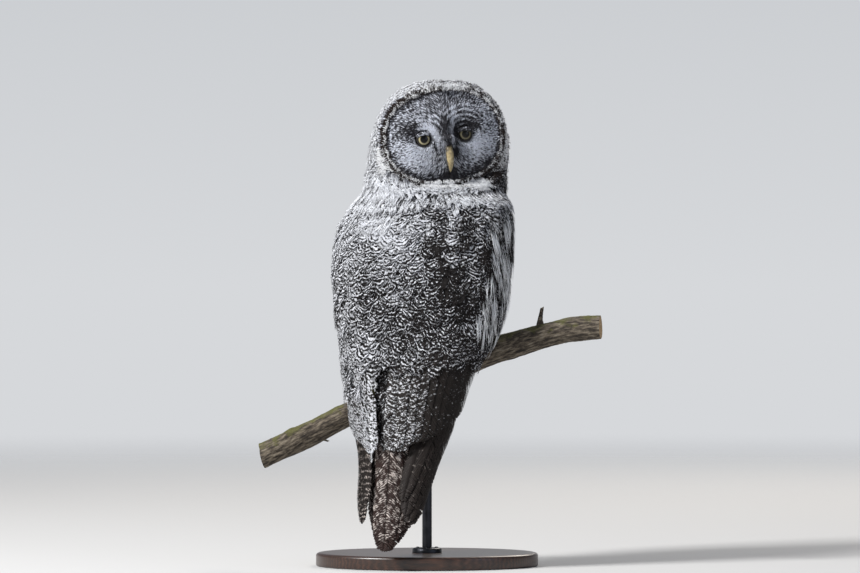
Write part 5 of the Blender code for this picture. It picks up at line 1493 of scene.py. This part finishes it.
# Each half: its line down the face and out of it, its taper, and its width and height
BILL_HALVES = (
    ("upper_bill", "bill_upper", BILL_TOP + (BILL_TIP - BILL_TOP) * s,
     0.0590 + 0.0125 * np.sin(math.pi * (0.18 + 0.62 * s)) - 0.0050 * s**3, (1 - s**2.3) ** 0.8, 0.92, 0.95),
    ("lower_bill", "bill_lower", -0.0285 - 0.0130 * s, 0.0555 + 0.0055 * s, 1 - 0.8 * s**1.5, 0.55, 0.55))
for piece_name, node_name, y, out, taper, wide, high in BILL_HALVES:
    raised = unit(stack(np.gradient(out), -np.gradient(y)))
    raised = np.where(raised[:, 1:] < 0, -raised, raised)
    half = BILL_WIDTH / 2 * wide * np.maximum(taper, 0.05)
    rise = np.where(np.sin(around) > 0, np.sin(around), 0.75 * np.sin(around))
    if node_name == "bill_upper":
        rise = rise * (1 + 0.05 * bell((around - math.pi / 2) / 0.35))
    place = stack(y, out)[:, None] + raised[:, None] * (half[:, None] * high * rise)[..., None]
    rings = from_face(half[:, None] * np.cos(around), place[..., 0], place[..., 1])
    bind(loft_piece(piece_name, rings, horn_mat), "bill_horn", node_name)

# Folded wings
# Each wing is a prepared arm with three tiers of stiff feathers: primaries that reach the
# tail, secondaries with the marbled inner ones over the back, and a row of coverts. Every
# feather is a quill with barbs that lie side by side, here and there parted.
WINGS_MEET = math.radians(-8.0)
VANE_THICK, SHINGLE_STEP = 0.0009, 0.0013
ARM_DEPTH, ARM_THICK, ARM_LOW, ARM_TALL = 0.0066, 0.0066, 0.270, 0.212
BARB_ANGLE = math.radians(36)
BARB_STATIONS = np.array([0.0, 0.5, 0.90, 1.0])
BARB_RIDGE, BARB_NARROW, BARB_WIDE, WEB_OVERLAP = 0.00016, 0.00015, 0.0016, 1.25
WING_SHAFT, TAIL_SHAFT = 0.0007, 0.0009
NO_DOWN = "#2A2624"


def wing_edge_angles(height):
    """The inner and outer edge of the folded wing, as angles round the body."""
    return (np.radians(smooth_table((0.262, 0.30, 0.34, 0.42, 0.46, 0.486), (3, 6, 12, 24, 36, 56), height)),
            np.radians(smooth_table((0.262, 0.34, 0.42, 0.46, 0.486), (92, 95, 97, 95, 86), height)))


def wing_turn(side, angle, height):
    """The angle round the body on either side: low down the folded wings meet a little
    left of the middle of the back."""
    lean = WINGS_MEET * (1 - ramp(0.33, 0.42, height)) * np.clip(1 - np.abs(angle) / math.radians(80), 0, 1)
    return side * angle + lean


def vane_profile(share, tip_share):
    """Half width of a feather along its length: narrow at the quill, round at the tip."""
    end = np.sqrt(np.clip(1 - (np.clip(share - (1 - tip_share), 0, 1) / tip_share) ** 2.2, 0.0, 1))
    return (0.30 + 0.70 * ramp(0.0, 0.30, share)) * end


def quill(place, flat, length, half, tone, barbs, tip_share, thick, stations=12):
    """One stiff feather. place(across, share) gives points and normals on it, flat(points)
    their place on the unwrap. A barb leaves the shaft at BARB_ANGLE and ends on the
    outline. The shaft is a thin raised rod that tapers to the tip."""
    dense = np.linspace(0.03, 1, 400)
    edge = stack(half * vane_profile(dense, tip_share), length * dense)
    gone = np.concatenate([[0], np.cumsum(np.linalg.norm(np.diff(edge, axis=0), axis=1))])
    end = np.interp(np.linspace(0, gone[-1], barbs), gone, dense)
    reach = half * vane_profile(end, tip_share)
    start = np.maximum(end - reach / (length * math.tan(BARB_ANGLE)), 0.0)[:, None]
    parts = []
    chance = draw.uniform(0, 1)
    for web in (1, -1):
        group = np.cumsum(draw.random(barbs) < 0.09)
        middle = (np.bincount(group, end) / np.maximum(np.bincount(group), 1))[group]
        tight = draw.uniform(0.80, 1.0, group[-1] + 1)[group]
        parted = middle + (end - middle) * tight
        parted = parted + draw.normal(0, 0.0016 + 0.010 * ramp(0.80, 1.0, end), barbs)
        share = start + (np.minimum(parted, 1.0)[:, None] - start) * BARB_STATIONS**1.12
        across = web * reach[:, None] * BARB_STATIONS
        even = start + (end[:, None] - start) * BARB_STATIONS
        one_barb = unit(np.gradient(stack(across, share * length), axis=1))
        next_barb = np.gradient(stack(across, even * length), axis=0)
        gap = np.abs(one_barb[..., 0] * next_barb[..., 1] - one_barb[..., 1] * next_barb[..., 0])
        line, normal = place(across, share)
        line = line + normal * draw.normal(0, 0.00010, (barbs, 1, 1)) * BARB_STATIONS[:, None]
        parts.append(strand_batch(
            line, normal, np.clip(gap[:, :-1] / 2 * WEB_OVERLAP, BARB_NARROW, BARB_WIDE), BARB_RIDGE,
            (across, share * length, chance),
            (tone + 0.03 * draw.normal(0, 1, (barbs, 1)), 0.35 + 0.65 * share, 0.0),
            flat(line[:, :1]), (BARB_STATIONS - 0.5, 0.0)))
    share = np.linspace(0.0, 0.985, stations + 1)[None]
    line, normal = place(share * 0, share)
    line = line + normal * thick * 0.3
    half = thick * (1 - 0.8 * share[:, :-1])
    return parts + [strand_batch(line, normal, half, half, (0.0, share * length, chance), (0.3, 0.6, 0.7),
                                 flat(line[:, :1]), (0.0, share - 0.5))]


# Heights on the wing, and how far the feathers of each tier lie outside the plumage's
# outline there; below 0 is inside
TIER_LIFTS = {
    "primary": ((0.06, 0.08, 0.11, 0.14, 0.16, 0.20, 0.24, 0.30),
                (-0.0020, -0.0025, -0.0045, -0.0074, -0.0086, -0.0094, -0.0096, -0.0090)),
    "secondary": ((0.15, 0.20, 0.28, 0.34), (-0.0034, -0.0038, -0.0052, -0.0072)),
    "covert": ((0.22, 0.28, 0.32, 0.345, 0.36, 0.374),
               (-0.0016, -0.0018, -0.0028, -0.0038, -0.0052, -0.0066))}
# The heights of the primaries' tips, from the wing's front edge to the back
PRIMARY_TIPS = (0.114, 0.082, 0.064, 0.062, 0.072, 0.094)


def toward(pair, share):
    """A value between the two of a pair."""
    return pair[0] + (pair[1] - pair[0]) * share


def wing_quill(side, tier, angles, spacing, heights, half, tone, barbs, tip_share):
    """A wing feather on the body's outline, tilted like a shingle: its outer edge over the
    next one. angles, spacing and heights run from root to tip."""
    def place(across, share):
        """Points and normals of this feather."""
        bent = 1 - (1 - share) ** 1.35
        angle, apart, height = (toward(pair, bent) for pair in (angles, spacing, heights))
        step = outline(angle + 0.01, height) - outline(angle - 0.01, height)
        reach = np.linalg.norm(step, axis=-1) / 0.02
        turn = wing_turn(side, angle + across / reach, height)
        rise = (smooth_table(*TIER_LIFTS[tier], height) + VANE_THICK
                + SHINGLE_STEP / np.maximum(apart * reach, 0.004) * across - across**2 * 1.2)
        point = outline(turn, height, rise)
        return point, unit(outline(turn, height, rise + 0.002) - point)

    length = abs(heights[1] - heights[0]) * 1.05
    return quill(place, lambda points: wing_surface(points)[2], length, half, tone, barbs, tip_share,
                 WING_SHAFT)


def feather_tone_and_shade(side, tier, t):
    """How pale a wing feather is, t running from the wing's front edge to the back: the
    near wing is pale; the far one, turned away from the key lamp, primaries too, is painted
    dark as shade but for its two innermost feathers, which face the viewer."""
    if tier == "primary":
        return 0.30 if side < 0 else 0.08
    if side < 0:
        return 0.42 + 0.10 * t
    if tier == "covert":
        return 0.24
    return float(np.interp(t, (0.0, 0.66, 0.78, 1.0), (0.12, 0.10, 0.28, 0.34)))


# Stiff vanes have a faint silky shine. The secondaries are marbled off-white and near-black
# in wavy bars 6.4 mm apart, the primaries brown in bars 11 mm apart, the coverts in bars of
# 6 mm.
wing_mat = plumage("stiff_marbled_wing_feather", ("#120F0D", "#2B2420"), ("#A9AAAE", "#F0F1F4"),
                   0.0064, 3.0, 0.0062, bars=0.42, down=NO_DOWN, roughness=0.62, droop=30.0, slant=0.9)
primary_mat = plumage("stiff_brown_primary", ("#14100E", "#2E2622"), ("#8C8078", "#C9BEB6"),
                      0.0110, 1.1, 0.0060, contrast=0.12, bars=0.38, down=NO_DOWN, roughness=0.60)
covert_mat = plumage("marbled_wing_covert", ("#131010", "#2B2523"), ("#B0B2B7", "#F0F1F4"),
                     0.0060, 1.9, 0.0068, bars=0.46, down=NO_DOWN, roughness=0.72, droop=34.0, slant=0.7)
FAR_SHIFT = -7.0
# Each tier: its feathers, the angles of the front and the back one's root and tip, the
# roots' height, the tips' heights, the half widths, barbs, share of the round tip, finish
TIERS = (("primary", 7, (86, 64), (86, 34), 0.330, None, (0.0124, 0.0130), 84, 0.50, primary_mat),
         ("secondary", 11, (84, 21), (82, 18), 0.340, (0.205, 0.157), (0.0150, 0.0150), 84, 0.26, wing_mat),
         ("covert", 11, (83, 24), (82, 20), 0.372, (0.284, 0.262), (0.0120, 0.0125), 60, 0.30, covert_mat))
for side, wing_name in ((-1, "wing_left"), (1, "wing_right")):
    rings = []
    share = np.linspace(0, 1, 33)
    for height in np.linspace(ARM_LOW, ARM_LOW + ARM_TALL, 40):
        lens = (1 - np.abs(2 * share - 1) ** 3.2) * (1 - abs(2 * (height - ARM_LOW) / ARM_TALL - 1) ** 5)
        turn = wing_turn(side, toward(wing_edge_angles(height), share), height)
        under = outline(turn, height, -ARM_DEPTH - 0.0006 - ARM_THICK * lens)
        rings.append(np.concatenate([outline(turn, height, -ARM_DEPTH), under[::-1]])[::side])
    arm = loft_piece(wing_name + "_arm", rings, coat_mat)
    for key, value in (("vane", (0.0, 0.0, 0.0)), ("mark", (0.2, 0.5, 0.0))):
        put_attribute(arm, key, np.tile(value, (len(arm.data.vertices), 1)))
    bind(arm, "flight_feather", wing_name)
    for tier, count, roots, tips, root_height, tip_heights, halves, barbs, tip_share, finish in TIERS:
        spacing = [math.radians(abs(pair[0] - pair[1])) / (count - 1) for pair in (roots, tips)]
        batches = []
        for i in range(count):
            t = i / (count - 1)
            shift = FAR_SHIFT * t if side > 0 and tier != "primary" else 0.0
            angles = [math.radians(pair[0] + (pair[1] + shift - pair[0]) * t) for pair in (roots, tips)]
            if tier == "primary":
                tip = float(np.interp(t * 5, np.arange(6), PRIMARY_TIPS))
            else:
                tip = toward(tip_heights, t) + draw.uniform(-0.004, 0.004)
            batches += wing_quill(side, tier, angles, spacing, (root_height, tip), toward(halves, t),
                                  feather_tone_and_shade(side, tier, t), barbs, tip_share)
        coat_piece(f"{wing_name}_{tier}", batches, finish, "flight_feather")

# Tail
# Twelve long blades in one stack, the middle pair nearest the viewer, grey-brown and
# marbled, with worn tips. Short coverts from the rump lie over their roots.
TAIL_AHEAD, TAIL_LEAN, TAIL_TIP, TAIL_LAYER = -0.1450, 0.150, 0.0270, 0.0013
TAIL_FEATHERS, TAIL_ROOT, TAIL_HALF, TAIL_BARBS = 12, 0.325, 0.0210, 92


def tail_point(right, height, sink):
    """A point of the closed tail: sink runs from its upper face towards the branch."""
    ahead = TAIL_AHEAD + TAIL_LEAN * (height - TAIL_TIP) + sink + right**2 / 0.22
    return from_bird(right, ahead, height)


def tail_flat(points):
    """The tail's unwrap: seen straight on."""
    return stack(0.5 + points[..., 0] / UNWRAP_SPAN, points[..., 2] / (2 * UNWRAP_SPAN))


def tail_quill(layer, tip, half, tone):
    """One tail feather of the stack; the layers count from the viewer's side."""
    middle = (1 if layer % 2 else -1) * (0.0030 + 0.0040 * (layer // 2))
    above = TAIL_LAYER * layer - VANE_THICK

    def place(across, share):
        """Points and normals of this feather."""
        bent = 1 - (1 - share) ** 1.3
        height = toward((TAIL_ROOT, tip), bent)
        right = middle * (0.35 + 0.65 * bent) + across
        point = tail_point(right, height, above + across**2 * 1.0)
        return point, unit(tail_point(right, height + TAIL_LEAN * 0.002, above - 0.002) - point)

    parts = quill(place, tail_flat, TAIL_ROOT - tip, half, tone, TAIL_BARBS, 0.34, TAIL_SHAFT, 16)
    for part in parts[:-1]:
        part["mark"][..., 0] -= 0.22 * ramp(0.84, 1.0, part["vane"][..., 1] / (TAIL_ROOT - tip))
    return parts


# The tail shines as the wings do, marbled in brown flecks 5 mm wide and 22 mm long
tail_mat = plumage("brown_marbled_tail_feather", ("#150D0B", "#34211B"), ("#877B74", "#CFC5BE"),
                   0.0120, 1.2, 0.0052, contrast=0.10, bars=0.10, down="#1E1816", roughness=0.62, droop=20.0,
                   stretch=0.24, slant=0.8)
batches = []
for layer in range(TAIL_FEATHERS):
    tip = TAIL_TIP + 0.0068 * (layer // 2) + draw.uniform(0.0006, 0.0022)
    batches += tail_quill(layer, tip, TAIL_HALF * (1 - 0.03 * (layer // 2)), 0.40)
coat_piece("tail_feathers", batches, tail_mat, "flight_feather", "tail")


def rump_surface(points):
    """Puts points on the tail's upper face and gives its normal and unwrap."""
    found = tail_point(points @ from_bird(1.0, 0.0, 0.0), points[..., 2], 0.0)
    normal = np.broadcast_to(unit(from_bird(0.0, -1.0, TAIL_LEAN)), found.shape)
    return found, normal, tail_flat(found)


# The rump's soft coverts, which fill the cleft between the folded wings, painted dark as the
# shade in that cleft
RUMP_PLUMES, RUMP_LENGTH, RUMP_WIDTH, RUMP_STRANDS = 90, 0.036, 0.0095, 11
height = np.sort(draw.uniform(0.190, 0.335, RUMP_PLUMES))
roots = from_bird(draw.uniform(-0.020, 0.020, RUMP_PLUMES), -0.12, height)
coat_piece("rump_feathers", [plumes(
    rump_surface, roots, np.tile(-UP, (RUMP_PLUMES, 1)), RUMP_LENGTH, RUMP_WIDTH, RUMP_STRANDS,
    (0.0006, 0.0030), 0.12 + 0.14 * draw.random(RUMP_PLUMES), ragged=0.10)], coat_mat)

# Feathered legs, toes and claws
# Short hair-like feathers clothe the legs and toes down to the claws, which are curved
# black horn, round in section.
LEG_PLUMES, LEG_LENGTH, LEG_WIDTH, LEG_STRANDS = 420, 0.0150, 0.0036, 5
TOE_PLUMES, TOE_LENGTH, TOE_WIDTH, TOE_STRANDS = 130, 0.0080, 0.0019, 3
TUBE_STATIONS = 160


def tube_surface(line, radii):
    """Settles points on a bent tube: nearest part of its line, then out to its radius."""
    line, radii = even_line(line, radii, TUBE_STATIONS)
    ways = unit(np.gradient(line, axis=0))

    def settle(points):
        """Points on the tube, with their normals and unwrap."""
        spots = points.reshape(-1, 3)
        nearest = ((spots[:, None] - line[None]) ** 2).sum(-1).argmin(1)
        way, away = ways[nearest], spots - line[nearest]
        out = flat_on(away, way)
        found = line[nearest] + way * (away * way).sum(1, keepdims=True) + out * radii[nearest][:, None]
        share = nearest / TUBE_STATIONS
        uv = stack(0.5 + 0.45 * out[:, 0] * (0.3 + 0.7 * share), 0.05 + 0.9 * share)
        return found.reshape(points.shape), out.reshape(points.shape), uv.reshape(points.shape[:-1] + (2,))
    return settle


def along_line(line, at):
    """A line's points, or what else it holds by station, at shares of its length."""
    return stack(*(np.interp(at, np.linspace(0, 1, len(line)), line[:, k]) for k in range(3)))


def spread_over(low, high, count):
    """Random shares of a tube's length and ways round it."""
    return draw.uniform(low, high, count), draw.uniform(0, 2 * math.pi, count)


# Leg feathers are matt pale grey-brown, in soft bars 8 mm apart and clouds of 6 mm
leg_mat = plumage("short_leg_feather", ("#3A3634", "#5A5451"), ("#B0AEAF", "#DAD8D8"),
                  0.0080, 0.9, 0.0060, contrast=0.25, bars=0.30)
batches = []
for line, radii in leg_lines:
    at, turn = spread_over(0.02, 0.98, LEG_PLUMES)
    spots = along_line(line[::-1], at) + 0.01 * stack(np.cos(turn), np.sin(turn), 0.0)
    down = np.tile(line[0] - line[-1], (LEG_PLUMES, 1))
    batches.append(plumes(tube_surface(line[::-1], radii[::-1]), spots, down, LEG_LENGTH, LEG_WIDTH,
                          LEG_STRANDS, (-0.0032, 0.0006), 0.36, ragged=0.12))
for line, radii in toe_lines:
    at, _ = spread_over(0.0, 0.90, TOE_PLUMES)
    spots = along_line(line, at) + 0.005 * draw.normal(0, 1, (TOE_PLUMES, 3))
    batches.append(plumes(tube_surface(line, radii), spots, along_line(np.gradient(line, axis=0), at),
                          TOE_LENGTH, TOE_WIDTH, TOE_STRANDS, (-0.0012, 0.0005), 0.40, ragged=0.10))
coat_piece("leg_feathers", batches, leg_mat)

# Claw horn is black with a polished shine, streaked by lines 1.1 mm wide and 4 mm long
claw_mat, tree = new_material("polished_black_claw_horn")
streaks = long_noise(tree, coordinates(tree), (900.0, 900.0, 250.0))
close_material(tree, shades(tree, streaks, (0.35, "#0B0A09"), (0.70, "#2B2521")), 0.30,
               {"Coat Weight": 0.3, "Coat Roughness": 0.15}, (streaks, 0.10, 0.0003))

CLAW_RADIUS, CLAW_ROWS = 0.0026, 36
# Stations of a claw in degrees round the branch, its thickness and its height off the bark
CLAW_TURNS = (102, 116, 130, 144, 156)
CLAW_SIZES = (1.0, 0.92, 0.72, 0.48, 0.18)
CLAW_LIFTS = (0.0030, 0.0042, 0.0038, 0.0022, 0.0012)
degrees = np.linspace(CLAW_TURNS[0], CLAW_TURNS[-1], CLAW_ROWS)
size = CLAW_RADIUS * smooth_table(CLAW_TURNS, CLAW_SIZES, degrees)
clear = smooth_table(CLAW_TURNS, CLAW_LIFTS, degrees) + size
blunt = np.append(np.ones(CLAW_ROWS - 1), 0.5)
for foot_x, foot_name in ((-FOOT_SPREAD, "left"), (FOOT_SPREAD, "right")):
    for number, (way, shift) in enumerate(TOES):
        centre, up, away, reach = grip(foot_x, shift, way)
        line = centre + circle(np.radians(degrees), up, away) * (reach + clear)[:, None]
        name = f"claw_{foot_name}_{number + 1}"
        bind(loft_piece(name + "_horn", tube_rings(line, size * blunt), claw_mat), "claw_horn", name)
